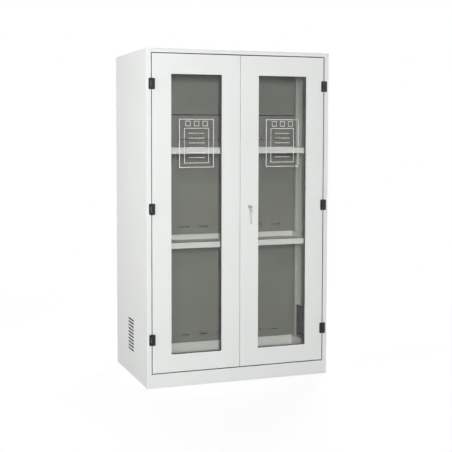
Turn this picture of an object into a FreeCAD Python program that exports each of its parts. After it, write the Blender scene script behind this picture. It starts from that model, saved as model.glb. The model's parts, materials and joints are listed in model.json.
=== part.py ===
import FreeCAD, Part
import math
import os
import re
import Sketcher

# Ventilated reagent cabinet: a folded sheet-steel body with two inset glazed wing doors, two tray
# shelves, a sump tray and an air shaft behind a slotted rear wall.
#
# Frame: origin at the middle of the footprint, on the floor. +X to the right of someone who faces
# the doors, +Y towards the back, +Z up. Millimetres. "Back" in a name is a distance behind the
# front face of the doors.

SIZES = {
    # body
    "width": 1140.0,
    "depth": 700.0,
    "height": 1950.0,
    "sheet": 1.5,
    "bend": 2.0,
    "fit_gap": 0.3,
    "floor_gap": 4.0,
    "stile_face": 29.5,
    "header_face": 25.0,
    "plinth_face": 82.0,
    "rear_lip": 20.0,
    "rail_lip": 20.0,
    "roof_flange": 18.0,
    # doors
    "door_gap": 3.0,
    "door_thick": 30.0,
    "stop_lip": 15.0,
    "seal_thick": 1.7,
    "seal_width": 12.0,
    "window_side": 114.0,
    "window_top": 115.0,
    "window_bottom": 103.0,
    "window_corner": 3.0,
    "glass_thick": 4.0,
    "glass_lap": 12.0,
    "gasket_thick": 1.5,
    "thin_sheet": 1.2,
    "reveal": 2.0,
    # hinges
    "hinge_width": 36.0,
    "hinge_height": 64.0,
    "hinge_corner": 5.0,
    "leaf_thick": 5.5,
    "hinge_axis_out": 6.2,
    "knuckle_radius": 5.6,
    "knuckle_height": 30.0,
    "knuckle_gap": 0.4,
    "knuckle_room": 0.8,
    "pin_radius": 2.5,
    "pin_proud": 0.6,
    "run_gap": 0.05,
    "hinge_top_drop": 172.0,
    "hinge_middle_rise": 949.0,
    "hinge_bottom_rise": 196.0,
    "screw_radius": 2.5,
    "screw_head": 4.8,
    "screw_length": 15.0,
    "screw_spacing": 40.0,
    "screw_out": 11.6,
    "hole_room": 0.15,
    # side vents
    "vent_count": 10.0,
    "vent_pitch": 20.4,
    "vent_low": 158.0,
    "vent_front": 294.0,
    "vent_length": 126.0,
    "vent_height": 10.0,
    # rear wall and exhaust
    "baffle_back": 480.0,
    "baffle_seam": 1586.0,
    "baffle_top_gap": 26.0,
    "baffle_fold": 14.0,
    "port_count": 8.0,
    "port_pitch": 124.0,
    "port_length": 64.0,
    "port_height": 8.0,
    "port_rise": 48.0,
    "spigot_radius": 50.0,
    "spigot_wall": 1.2,
    "spigot_height": 30.0,
    "spigot_flange": 16.0,
    # shelf standards, clips and trays
    "standard_width": 25.0,
    "standard_depth": 12.0,
    "standard_front": 70.0,
    "standard_rear_gap": 50.0,
    "standard_top_gap": 50.0,
    "slot_pitch": 25.0,
    "slot_first": 31.5,
    "slot_width": 6.0,
    "slot_height": 12.0,
    "lower_step": 27.0,
    "upper_step": 49.0,
    "clip_width": 12.0,
    "clip_reach": 24.0,
    "clip_leg": 20.0,
    "clip_sheet": 2.0,
    "tongue_drop": 10.0,
    "tongue_room": 1.0,
    "shelf_lip": 33.0,
    "shelf_hem": 9.0,
    "shelf_front_gap": 11.0,
    "shelf_rear_gap": 4.0,
    "shelf_side_gap": 2.0,
    "sump_depth": 60.0,
    # base and feet
    "floor_flange": 20.0,
    "channel_width": 42.0,
    "channel_low": 14.0,
    "channel_sheet": 2.0,
    "channel_end": 6.0,
    "foot_radius": 20.0,
    "foot_pad": 8.0,
    "foot_stem": 5.0,
    "foot_stem_length": 36.0,
    "foot_hex": 17.0,
    "foot_nut": 8.0,
    "foot_inset": 24.0,
    "foot_end": 62.0,
    # lock, rods and bolts
    "lock_edge": 57.0,
    "rosette_radius": 12.0,
    "rosette_thick": 3.0,
    "housing_radius": 9.0,
    "housing_proud": 4.0,
    "plug_radius": 6.0,
    "plug_proud": 0.5,
    "cam_seat": 1.0,
    "lock_nut_hex": 24.0,
    "lock_nut_thick": 4.0,
    "cam_thick": 2.5,
    "cam_width": 12.0,
    "cam_reach": 12.0,
    "cam_square": 6.0,
    "cam_pin": 2.5,
    "cam_play": 0.45,
    "rod_width": 12.0,
    "rod_thick": 4.0,
    "rod_gap": 0.8,
    "cam_gap": 0.5,
    "rod_offset": 10.25,
    "rod_recess": 2.0,
    "rod_room": 0.6,
    "yoke_width": 20.0,
    "yoke_height": 24.0,
    "guide_width": 24.0,
    "guide_height": 18.0,
    "guide_wall": 3.0,
    "guide_near": 130.0,
    "guide_far": 560.0,
    "bolt_edge": 22.0,
    "bolt_length": 220.0,
    "bolt_throw": 15.0,
    "bolt_tab": 10.0,
    "bolt_tab_reach": 10.0,
    "bolt_guide_drop": 40.0,
    # keys
    "key_thick": 2.2,
    "key_width": 8.0,
    "key_play": 0.1,
    "key_depth": 22.0,
    "key_shoulder": 1.5,
    "bow_radius": 12.5,
    "bow_rim": 3.5,
    "bow_slot_width": 12.0,
    "bow_slot_length": 11.0,
    "ring_radius": 12.0,
    "ring_wire": 0.8,
    "hang_bow": 10.0,
    "hang_hole": 3.0,
    "hang_drop": 1.5,
    "hang_rim": 3.0,
    "hang_side": 2.1,
    "short_blade": 34.0,
    "long_blade": 72.0,
}

# Derived lengths, as expressions over the sheet above.
FRONT = "(-depth/2)"
STOP_BACK = "(door_thick + fit_gap + seal_thick)"
FRAME_BACK = f"({STOP_BACK} + sheet)"
DOOR_WIDTH = "((width - 2*stile_face - 3*door_gap)/2)"
DOOR_HEIGHT = "(height - header_face - plinth_face - floor_gap - 2*door_gap)"
DOOR_LOW = "(floor_gap + plinth_face + door_gap)"
FLOOR_TOP = "(floor_gap + plinth_face - sheet)"
HINGE_X = "(width/2 - stile_face - door_gap/2)"
HINGE_HEIGHTS = (
    f"({DOOR_LOW} + {DOOR_HEIGHT} - hinge_top_drop)",
    f"({DOOR_LOW} + hinge_middle_rise)",
    f"({DOOR_LOW} + hinge_bottom_rise)",
)
GLASS_BACK = "(sheet + gasket_thick + glass_thick)"
PAN_FRONT = "(door_thick - thin_sheet)"
INNER_HALF = "(width/2 - sheet - fit_gap)"
SPIGOT_BACK = "((baffle_back + depth)/2)"
STANDARD_REAR = "(baffle_back - standard_rear_gap)"
STANDARD_HEIGHT = f"(height - {FLOOR_TOP} - standard_top_gap)"
SLOT_COUNT = f"floor(({STANDARD_HEIGHT} - slot_first - slot_height)/slot_pitch)"
SHELF_HALF = "(width/2 - sheet - standard_depth - shelf_side_gap)"
SHELF_FRONT = f"({FRAME_BACK} + shelf_front_gap)"
SHELF_DEPTH = f"(baffle_back - shelf_rear_gap - {SHELF_FRONT})"
SHELF_LEVELS = {
    "lower_shelf": f"({FLOOR_TOP} + slot_first + lower_step*slot_pitch + tongue_drop)",
    "upper_shelf": f"({FLOOR_TOP} + slot_first + upper_step*slot_pitch + tongue_drop)",
}
LOCK_X = "(door_gap/2 + lock_edge)"
LOCK_Z = f"({DOOR_LOW} + hinge_middle_rise)"
CAM_SIDE = "(cam_reach*sqrt(0.5))"
ROD_BACK = f"({PAN_FRONT} - rod_gap - rod_thick)"
PLUG_BACK = f"({ROD_BACK} - cam_gap - cam_thick)"
HOUSING_BACK = f"({PLUG_BACK} - cam_seat)"
ROD_ROOM_FRONT = f"({ROD_BACK} - rod_room)"
ROD_ROOM_BACK = f"({ROD_BACK} + rod_thick + rod_room)"
ROD_HALF_ROOM = "(rod_width/2 + rod_room)"
BOW_FRONT = "(housing_proud + plug_proud + key_shoulder)"
RIM_BACK = f"(-{BOW_FRONT} - 2*bow_radius + bow_rim/2)"
RING_DROP = "(key_thick/2 + fit_gap - ring_radius + ring_wire)"

doc = FreeCAD.newDocument("ReagentCabinet")
sheet = doc.addObject("Spreadsheet::Sheet", "Sizes")
for row, (alias, number) in enumerate(SIZES.items(), 1):
    sheet.set(f"A{row}", alias)
    sheet.set(f"B{row}", str(number))
    sheet.setAlias(f"B{row}", alias)
doc.recompute()

nodes = []


def bound(expression):
    """Point every size name in an expression at its cell."""
    return re.sub(
        r"[a-z][a-z_]*", lambda word: f"Sizes.{word[0]}" if word[0] in SIZES else word[0], expression
    )


def bind(thing, **expressions):
    """Bind properties of an object to the sheet; a double underscore stands for a dot."""
    for name, expression in expressions.items():
        thing.setExpression(name.replace("__", "."), bound(expression))


def place(thing, corner):
    """Bind an object's position to three expressions."""
    for axis, expression in zip("xyz", corner):
        thing.setExpression(f"Placement.Base.{axis}", bound(expression))


def turned(expression, sign):
    """An expression times plus or minus one."""
    return expression if sign > 0 else f"-({expression})"


class Outline:
    """A sketch on one of a body's own planes, with every point bound to the sheet."""

    def __init__(self, piece, plane, lift="0"):
        self.sketch = piece.body.newObject("Sketcher::SketchObject", piece.name("outline"))
        self.sketch.AttachmentSupport = [(piece.datum(plane), "")]
        self.sketch.MapMode = "FlatFace"
        self.sketch.setExpression("AttachmentOffset.Base.z", bound(lift))

    def fix(self, kind, where, start, expression):
        """Add one driving constraint and bind it."""
        index = self.sketch.addConstraint(Sketcher.Constraint(kind, *where, start))
        name = f"size_{index}"
        self.sketch.renameConstraint(index, name)
        self.sketch.setExpression(f"Constraints.{name}", bound(expression))

    def fix_point(self, geometry, point, start, x, y):
        """Bind one point of the sketch to a pair of expressions."""
        self.fix("DistanceX", (-1, 1, geometry, point), start.x, x)
        self.fix("DistanceY", (-1, 1, geometry, point), start.y, y)

    def polygon(self, points):
        """Draw a closed outline through pairs of expressions."""
        first = self.sketch.GeometryCount
        count = len(points)
        turns = [2*math.pi*index/count for index in range(count)]
        starts = [FreeCAD.Vector(20*math.cos(turn), 20*math.sin(turn), 0) for turn in turns]
        for index in range(count):
            side = Part.LineSegment(starts[index], starts[(index + 1) % count])
            self.sketch.addGeometry(side, False)
        for index in range(count):
            after = first + (index + 1) % count
            self.sketch.addConstraint(Sketcher.Constraint("Coincident", first + index, 2, after, 1))
        for index, (x, y) in enumerate(points):
            self.fix_point(first + index, 1, starts[index], x, y)
        return self

    def rectangle(self, left, low, right, high):
        """Draw a rectangle between two corners."""
        return self.polygon([(left, low), (right, low), (right, high), (left, high)])

    def hexagon(self, across):
        """Draw a hexagon about the origin, by its width across the flats."""
        turns = [math.pi/3*index for index in range(6)]
        corners = [(math.cos(turn)/math.sqrt(3), math.sin(turn)/math.sqrt(3)) for turn in turns]
        return self.polygon([(f"{across}*{x:.6f}", f"{across}*{y:.6f}") for x, y in corners])

    def circle(self, x, y, radius):
        """Draw a circle."""
        index = self.sketch.GeometryCount
        centre = FreeCAD.Vector(0, 0, 0)
        self.sketch.addGeometry(Part.Circle(centre, FreeCAD.Vector(0, 0, 1), 3), False)
        self.fix_point(index, 3, centre, x, y)
        self.fix("Radius", (index,), 3.0, radius)
        return self

    def slot(self, left, right, y, radius):
        """Draw a slot with round ends that lies along the sketch's first axis."""
        near, far = FreeCAD.Vector(0, 0, 0), FreeCAD.Vector(20, 0, 0)
        up, rise = FreeCAD.Vector(0, 0, 1), FreeCAD.Vector(0, 3, 0)
        first = self.sketch.GeometryCount
        self.sketch.addGeometry(Part.ArcOfCircle(Part.Circle(near, up, 3), math.pi/2, 3*math.pi/2), False)
        self.sketch.addGeometry(Part.ArcOfCircle(Part.Circle(far, up, 3), -math.pi/2, math.pi/2), False)
        self.sketch.addGeometry(Part.LineSegment(near - rise, far - rise), False)
        self.sketch.addGeometry(Part.LineSegment(far + rise, near + rise), False)
        for one, end, other, start in ((0, 2, 2, 1), (2, 2, 1, 1), (1, 2, 3, 1), (3, 2, 0, 1)):
            touch = Sketcher.Constraint("Tangent", first + one, end, first + other, start)
            self.sketch.addConstraint(touch)
        self.sketch.addConstraint(Sketcher.Constraint("Equal", first, first + 1))
        self.fix_point(first, 3, near, f"{left} + {radius}", y)
        self.fix_point(first + 1, 3, far, f"{right} - {radius}", y)
        self.fix("Radius", (first,), 3.0, radius)
        return self


class Piece:
    """A PartDesign body that is built in its own frame and placed by the sheet."""

    def __init__(self, node, corner=("0", "0", "0"), kept=True):
        self.node = node
        self.body = doc.addObject("PartDesign::Body", node)
        self.body.Label = node
        self.steps = 0
        place(self.body, corner)
        if kept:
            nodes.append(self.body)

    def name(self, word):
        """A fresh name for one of the body's features."""
        self.steps += 1
        return f"{self.node}_{word}_{self.steps}"

    def datum(self, role):
        """One of the body's own origin planes or axes."""
        return next(item for item in self.body.Origin.OriginFeatures if item.Role == role)

    def flat(self, lift="0"):
        """A sketch that lies level: X to the right, Y to the back."""
        return Outline(self, "XY_Plane", lift)

    def facing(self, back="0"):
        """A sketch that faces the front: X to the right, Z up, at a distance behind the origin."""
        return Outline(self, "XZ_Plane", f"-({back})")

    def endwise(self, out="0"):
        """A sketch that faces the side: Y to the back, Z up."""
        return Outline(self, "YZ_Plane", out)

    def pad(self, outline, length, flip=False, centred=False):
        """Pad an outline; flip sends it down, or back when the outline faces the front."""
        feature = self.body.newObject("PartDesign::Pad", self.name("pad"))
        feature.Profile = outline.sketch
        feature.Reversed = flip
        feature.SideType = "Symmetric" if centred else "One side"
        bind(feature, Length=length)
        outline.sketch.Visibility = False
        return feature

    def cut(self, outline, length, flip=False, centred=True):
        """Pocket an outline, centred on its own plane unless told otherwise."""
        feature = self.body.newObject("PartDesign::Pocket", self.name("cut"))
        feature.Profile = outline.sketch
        feature.Reversed = flip
        feature.SideType = "Symmetric" if centred else "One side"
        bind(feature, Length=length)
        outline.sketch.Visibility = False
        return feature

    def repeat(self, feature, role, pitch, count):
        """Repeat a feature in a straight row and make the row the body's tip."""
        row = self.body.newObject("PartDesign::LinearPattern", self.name("row"))
        row.Originals = [feature]
        row.Direction = (self.datum(role), [""])
        bind(row, Length=f"({pitch})*(({count}) - 1)", Occurrences=count)
        self.body.Tip = row
        return row

    def dress(self, kind, size, wanted):
        """Fillet or chamfer the edges of the body's tip that a test picks."""
        doc.recompute()
        tip = self.body.Tip
        box = tip.Shape.BoundBox
        picked = [f"Edge{number}" for number, edge in enumerate(tip.Shape.Edges, 1) if wanted(edge, box)]
        feature = self.body.newObject(f"PartDesign::{kind}", self.name(kind.lower()))
        feature.Base = (tip, picked)
        bind(feature, **{"Radius" if kind == "Fillet" else "Size": size})
        return feature


def spans(edge):
    """How far an edge runs along each axis."""
    box = edge.BoundBox
    return box.XLength, box.YLength, box.ZLength


def runs_along(edge, axis):
    """Whether an edge is straight along one axis: 0, 1 or 2."""
    reach = spans(edge)
    return reach[axis] > 0.01 and all(reach[other] < 0.01 for other in range(3) if other != axis)


def near(first, second):
    """Whether two coordinates are the same."""
    return abs(first - second) < 0.01


def is_round(edge):
    """Whether an edge is a whole circle."""
    return edge.Curve.TypeId == "Part::GeomCircle" and edge.isClosed()


def group(node, copies, turn=None):
    """Keep copies of pieces together as one sub-part; each copy is a source and its place."""
    links = []
    for number, (source, corner) in enumerate(copies, 1):
        link = doc.addObject("App::Link", f"{node}_{number}")
        link.LinkedObject = source
        if turn:
            link.Placement = FreeCAD.Placement(FreeCAD.Vector(), turn)
        place(link, corner)
        links.append(link)
    whole = doc.addObject("Part::Compound", node)
    whole.Label = node
    whole.Links = links
    nodes.append(whole)


# ---------------------------------------------------------------------------------------- body


def side_panel(node, inward):
    """One side: outer wall, front stile, door stop lip and rear lip, folded from one sheet."""
    outer_x = turned("width/2", -inward)
    piece = Piece(node, (outer_x, FRONT, "floor_gap"))
    profile = [
        ("0", "0"),
        ("stile_face", "0"),
        ("stile_face", STOP_BACK),
        ("stile_face + stop_lip", STOP_BACK),
        ("stile_face + stop_lip", FRAME_BACK),
        ("stile_face - sheet", FRAME_BACK),
        ("stile_face - sheet", "sheet"),
        ("sheet", "sheet"),
        ("sheet", "depth - sheet"),
        ("rear_lip", "depth - sheet"),
        ("rear_lip", "depth"),
        ("0", "depth"),
    ]
    outline = piece.flat().polygon([(turned(x, inward), y) for x, y in profile])
    piece.pad(outline, "height - sheet - floor_gap")

    def folded(edge, box):
        y = edge.Vertexes[0].Y
        at_wall = near(edge.Vertexes[0].X, 0)
        return runs_along(edge, 2) and (near(y, box.YMin) or (near(y, box.YMax) and at_wall))

    piece.dress("Fillet", "bend", folded)
    vent = piece.endwise().slot(
        "vent_front", "vent_front + vent_length", "vent_low - floor_gap", "vent_height/2"
    )
    piece.repeat(piece.cut(vent, "4*sheet"), "Z_Axis", "vent_pitch", "vent_count")
    holes = piece.facing()
    for height in HINGE_HEIGHTS:
        for way in ("+", "-"):
            x = turned("stile_face + door_gap/2 - screw_out", inward)
            holes.circle(x, f"{height} - floor_gap {way} screw_spacing/2", "screw_radius + hole_room")
    piece.cut(holes, "4*sheet")


def rail(node, low, profile, holes_at):
    """A folded rail between the stiles; the ends of its stop lip clear the stiles' own lips."""
    piece = Piece(node, ("0", FRONT, low))
    piece.pad(piece.endwise().polygon(profile), "width - 2*stile_face", centred=True)

    def folded(edge, box):
        return runs_along(edge, 0) and near(edge.Vertexes[0].Y, box.YMin)

    piece.dress("Fillet", "bend", folded)
    ends = piece.flat()
    for side in (1, -1):
        inner = turned("width/2 - stile_face - stop_lip", side)
        outer = turned("width/2 - stile_face + sheet", side)
        ends.rectangle(inner, STOP_BACK, outer, f"{FRAME_BACK} + sheet")
    piece.cut(ends, "4*plinth_face")
    keeper = piece.flat(holes_at)
    for centre in ("-(door_gap/2 + bolt_edge)", rod_x(node)):
        keeper.rectangle(
            f"{centre} - {ROD_HALF_ROOM}", ROD_ROOM_FRONT, f"{centre} + {ROD_HALF_ROOM}", ROD_ROOM_BACK
        )
    piece.cut(keeper, "4*sheet")


def rod_x(node):
    """Where the door's rod meets a rail: the upper rod runs right of the lock, the lower one left."""
    return f"({LOCK_X} + rod_offset)" if node == "header_rail" else f"({LOCK_X} - rod_offset)"


def rails():
    """The header over the doors and the plinth under them."""
    header_top = "(header_face - sheet)"
    header = [
        ("0", "0"),
        (STOP_BACK, "0"),
        (STOP_BACK, "-stop_lip"),
        (FRAME_BACK, "-stop_lip"),
        (FRAME_BACK, "sheet"),
        ("sheet", "sheet"),
        ("sheet", f"{header_top} - sheet"),
        ("rail_lip", f"{header_top} - sheet"),
        ("rail_lip", header_top),
        ("0", header_top),
    ]
    rail("header_rail", "height - header_face", header, "0")
    plinth = [
        ("0", "0"),
        ("rail_lip", "0"),
        ("rail_lip", "sheet"),
        ("sheet", "sheet"),
        ("sheet", "plinth_face - sheet"),
        (FRAME_BACK, "plinth_face - sheet"),
        (FRAME_BACK, "plinth_face + stop_lip"),
        (STOP_BACK, "plinth_face + stop_lip"),
        (STOP_BACK, "plinth_face"),
        ("0", "plinth_face"),
    ]
    rail("plinth_rail", "floor_gap", plinth, "plinth_face")


def roof_panel():
    """The roof: a flat sheet with a flange turned down inside the sides and the back."""
    piece = Piece("roof_panel", ("0", FRONT, "height - sheet"))
    half = f"({INNER_HALF} - sheet)"
    front, back = f"({FRAME_BACK} + fit_gap)", "(depth - 2*sheet - fit_gap)"
    plate = piece.flat().rectangle("-width/2", "0", "width/2", "depth")
    plate.circle("0", SPIGOT_BACK, "spigot_radius + fit_gap")
    piece.pad(plate, "sheet")
    flange = piece.flat().rectangle(f"-{INNER_HALF}", front, INNER_HALF, back)
    flange.rectangle(f"-{half}", f"{front} + sheet", half, f"{back} - sheet")
    piece.pad(flange, "roof_flange", flip=True)

    def outer(edge, box):
        return near(edge.BoundBox.ZMin, box.ZMax) and (runs_along(edge, 0) or runs_along(edge, 1))

    piece.dress("Fillet", "0.6*sheet", outer)


def back_panel():
    """The outer back, held behind the rear lips of the sides."""
    piece = Piece("back_panel", ("0", FRONT, "floor_gap"))
    outline = piece.flat().rectangle(f"-{INNER_HALF}", "depth - 2*sheet", INNER_HALF, "depth - sheet")
    piece.pad(outline, "height - sheet - floor_gap")


def floor_panel():
    """The floor of the cupboard, a sheet with a flange turned down all round."""
    piece = Piece("floor_panel", ("0", FRONT, f"{FLOOR_TOP} - sheet"))
    half = f"({INNER_HALF} - sheet)"
    front, back = f"({FRAME_BACK} + fit_gap)", "(depth - 2*sheet - fit_gap)"
    piece.pad(piece.flat().rectangle(f"-{INNER_HALF}", front, INNER_HALF, back), "sheet")
    flange = piece.flat().rectangle(f"-{INNER_HALF}", front, INNER_HALF, back)
    flange.rectangle(f"-{half}", f"{front} + sheet", half, f"{back} - sheet")
    piece.pad(flange, "floor_flange", flip=True)


def base_channel(node, inward):
    """A channel under one side of the floor; the feet screw into its lower flange."""
    outer = f"({INNER_HALF} - sheet - fit_gap)"
    high = f"{FLOOR_TOP} - sheet - channel_low"
    front = f"({FRAME_BACK} + fit_gap + sheet + channel_end)"
    piece = Piece(node, (turned(outer, -inward), FRONT, "channel_low"))
    profile = [
        ("0", "0"),
        ("channel_width", "0"),
        ("channel_width", "channel_sheet"),
        ("channel_sheet", "channel_sheet"),
        ("channel_sheet", f"{high} - channel_sheet"),
        ("channel_width", f"{high} - channel_sheet"),
        ("channel_width", high),
        ("0", high),
    ]
    outline = piece.facing(front).polygon([(turned(x, inward), z) for x, z in profile])
    piece.pad(outline, f"depth - 3*sheet - fit_gap - channel_end - {front}", flip=True)
    holes = piece.flat()
    for back in ("foot_end", "depth - foot_end"):
        holes.circle(turned("foot_inset", inward), back, "foot_stem + hole_room")
    piece.cut(holes, "4*channel_sheet")


def feet():
    """Four levelling feet, each a pad, a spanner hexagon and a stem, with a lock nut on the flange."""
    channel_x = f"({INNER_HALF} - sheet - fit_gap - foot_inset)"
    nut = Piece("foot_nut", kept=False)
    nut.pad(nut.flat().hexagon("foot_hex").circle("0", "0", "foot_stem + run_gap"), "foot_nut")
    nuts = []
    for side, sign in (("left", -1), ("right", 1)):
        for end, back in (("front", "foot_end"), ("rear", "depth - foot_end")):
            where = (turned(channel_x, sign), f"{FRONT} + {back}")
            foot = Piece(f"foot_{end}_{side}", (*where, "0"))
            foot.pad(foot.flat().circle("0", "0", "foot_radius"), "foot_pad")
            foot.dress("Fillet", "foot_pad/4", lambda edge, box: is_round(edge))
            foot.pad(foot.flat("foot_pad").hexagon("foot_hex"), "channel_low - foot_pad")
            foot.pad(foot.flat("foot_pad").circle("0", "0", "foot_stem"), "foot_stem_length")
            nuts.append((nut.body, (*where, "channel_low + channel_sheet")))
    group("foot_nuts", nuts)


# ------------------------------------------------------------------------- rear wall and exhaust


def baffle(node, low, height, fold_at_top):
    """One sheet of the slotted rear wall, folded back where it meets the other."""
    piece = Piece(node, ("0", f"{FRONT} + baffle_back", low))
    if fold_at_top:
        profile = [
            ("0", "0"),
            ("sheet", "0"),
            ("sheet", f"{height} - sheet"),
            ("baffle_fold", f"{height} - sheet"),
            ("baffle_fold", height),
            ("0", height),
        ]
    else:
        profile = [
            ("0", "0"),
            ("baffle_fold", "0"),
            ("baffle_fold", "sheet"),
            ("sheet", "sheet"),
            ("sheet", height),
            ("0", height),
        ]
    piece.pad(piece.endwise().polygon(profile), f"2*{INNER_HALF}", centred=True)

    def fold(edge, box):
        seam = box.ZMax if fold_at_top else box.ZMin
        return runs_along(edge, 0) and near(edge.Vertexes[0].Y, 0) and near(edge.Vertexes[0].Z, seam)

    piece.dress("Fillet", "sheet", fold)
    return piece


def rear_wall():
    """The two baffle sheets, with a row of extraction ports low in each compartment."""
    low_sheet = baffle("baffle_lower", FLOOR_TOP, f"(baffle_seam - {FLOOR_TOP})", True)
    left = "(-port_pitch*(port_count - 1)/2 - port_length/2)"
    sump_port = f"{FLOOR_TOP} + sump_depth"
    for base in (sump_port, *(f"{level} + shelf_lip" for level in SHELF_LEVELS.values())):
        row_z = f"({base} - {FLOOR_TOP} + port_rise)"
        port = low_sheet.facing().slot(left, f"{left} + port_length", row_z, "port_height/2")
        low_sheet.repeat(low_sheet.cut(port, "4*sheet"), "X_Axis", "port_pitch", "port_count")
    baffle("baffle_upper", "baffle_seam", "(height - baffle_top_gap - baffle_seam)", False)


def exhaust_spigot():
    """The round duct collar on the roof, over the air shaft."""
    piece = Piece("exhaust_spigot", ("0", f"{FRONT} + {SPIGOT_BACK}", "height"))
    bore = "spigot_radius - spigot_wall"
    tube = piece.flat("-roof_flange/2").circle("0", "0", "spigot_radius").circle("0", "0", bore)
    piece.pad(tube, "roof_flange/2 + spigot_height")
    collar = piece.flat().circle("0", "0", "spigot_radius + spigot_flange").circle("0", "0", bore)
    piece.pad(collar, "spigot_wall")


# ------------------------------------------------------------------------------ inner fittings


def shelf_standards():
    """Four slotted standards, two on each side wall."""
    for side, inward in (("left", 1), ("right", -1)):
        for end, back in (("front", "standard_front"), ("rear", STANDARD_REAR)):
            corner = (turned("width/2 - sheet", -inward), f"{FRONT} + {back}", FLOOR_TOP)
            piece = Piece(f"standard_{end}_{side}", corner)
            profile = [
                ("0", "0"),
                ("standard_depth", "0"),
                ("standard_depth", "standard_width"),
                ("0", "standard_width"),
                ("0", "standard_width - sheet"),
                ("standard_depth - sheet", "standard_width - sheet"),
                ("standard_depth - sheet", "sheet"),
                ("0", "sheet"),
            ]
            outline = piece.flat().polygon([(turned(x, inward), y) for x, y in profile])
            piece.pad(outline, STANDARD_HEIGHT)
            slot = piece.endwise(turned("standard_depth", inward)).rectangle(
                "(standard_width - slot_width)/2",
                "slot_first - slot_height/2",
                "(standard_width + slot_width)/2",
                "slot_first + slot_height/2",
            )
            piece.repeat(piece.cut(slot, "4*sheet"), "Z_Axis", "slot_pitch", SLOT_COUNT)


def shelf_clips():
    """Eight clips that hook into the standards' slots and carry the two shelves."""
    copies = []
    for side, inward in (("left", 1), ("right", -1)):
        clip = Piece(f"clip_{side}", kept=False)
        profile = [
            ("0", "0"),
            ("0", "-clip_leg"),
            ("clip_sheet", "-clip_leg"),
            ("clip_sheet", "-clip_sheet"),
            ("clip_reach", "-clip_sheet"),
            ("clip_reach", "0"),
        ]
        outline = clip.facing().polygon([(turned(x, inward), z) for x, z in profile])
        clip.pad(outline, "clip_width", centred=True)
        tongue = clip.facing().rectangle(
            turned("-(sheet + tongue_room)", inward),
            "-tongue_drop - slot_height/2 + tongue_room",
            "0",
            "-tongue_drop + slot_height/2 - tongue_room",
        )
        clip.pad(tongue, "slot_width - tongue_room", centred=True)
        x = turned("width/2 - sheet - standard_depth", -inward)
        for level in SHELF_LEVELS.values():
            for back in ("standard_front", STANDARD_REAR):
                copies.append((clip.body, (x, f"{FRONT} + {back} + standard_width/2", level)))
    group("shelf_clips", copies)


def hem_fold(edge, box):
    """True for the long edge where a tray's front rail is folded back into its hem."""
    y, z = edge.Vertexes[0].Y, edge.Vertexes[0].Z
    return runs_along(edge, 0) and near(y, box.YMin) and near(z, box.ZMax)


def tray(node, level, wall, lip, hem):
    """One tray of welded sheet: a front rail, hemmed or plain, a floor, a rear rail and two end plates."""
    length = f"2*({SHELF_HALF} - {wall})"
    names = [f"{node}_{part}" for part in ("front", "floor", "rear", "end")]
    front, floor, rear, end = (Piece(name, kept=False) for name in names)
    rail = [("0", "0"), (wall, "0"), (wall, lip), ("0", lip)]
    if hem:
        rail[2:3] = [(wall, f"{lip} - {wall}"), (hem, f"{lip} - {wall}"), (hem, lip)]
    front.pad(front.endwise().polygon(rail), length, centred=True)
    if hem:
        front.dress("Fillet", wall, hem_fold)
    floor.pad(floor.endwise().rectangle(wall, "0", f"{SHELF_DEPTH} - {wall}", wall), length, centred=True)
    rear.pad(rear.endwise().rectangle(f"{SHELF_DEPTH} - {wall}", "0", SHELF_DEPTH, lip), length, centred=True)
    end.pad(end.endwise().rectangle("0", "0", SHELF_DEPTH, lip), wall)
    copies = [(piece.body, "0") for piece in (front, floor, rear)]
    copies += [(end.body, f"-{SHELF_HALF}"), (end.body, f"({SHELF_HALF} - {wall})")]
    group(node, [(body, (x, f"{FRONT} + {SHELF_FRONT}", level)) for body, x in copies])


def trays():
    """Two shelves on clips and the sump tray on the floor."""
    for node, level in SHELF_LEVELS.items():
        tray(node, level, "thin_sheet", "shelf_lip", "shelf_hem")
    tray("sump_tray", FLOOR_TOP, "sheet", "sump_depth", None)


# --------------------------------------------------------------------------------------- doors


def window(grow):
    """The window's outline in a door's frame, grown by a length: left, low, right, high."""
    return (
        f"window_side - ({grow})",
        f"window_bottom - ({grow})",
        f"{DOOR_WIDTH} - window_side + ({grow})",
        f"{DOOR_HEIGHT} - window_top + ({grow})",
    )


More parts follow.
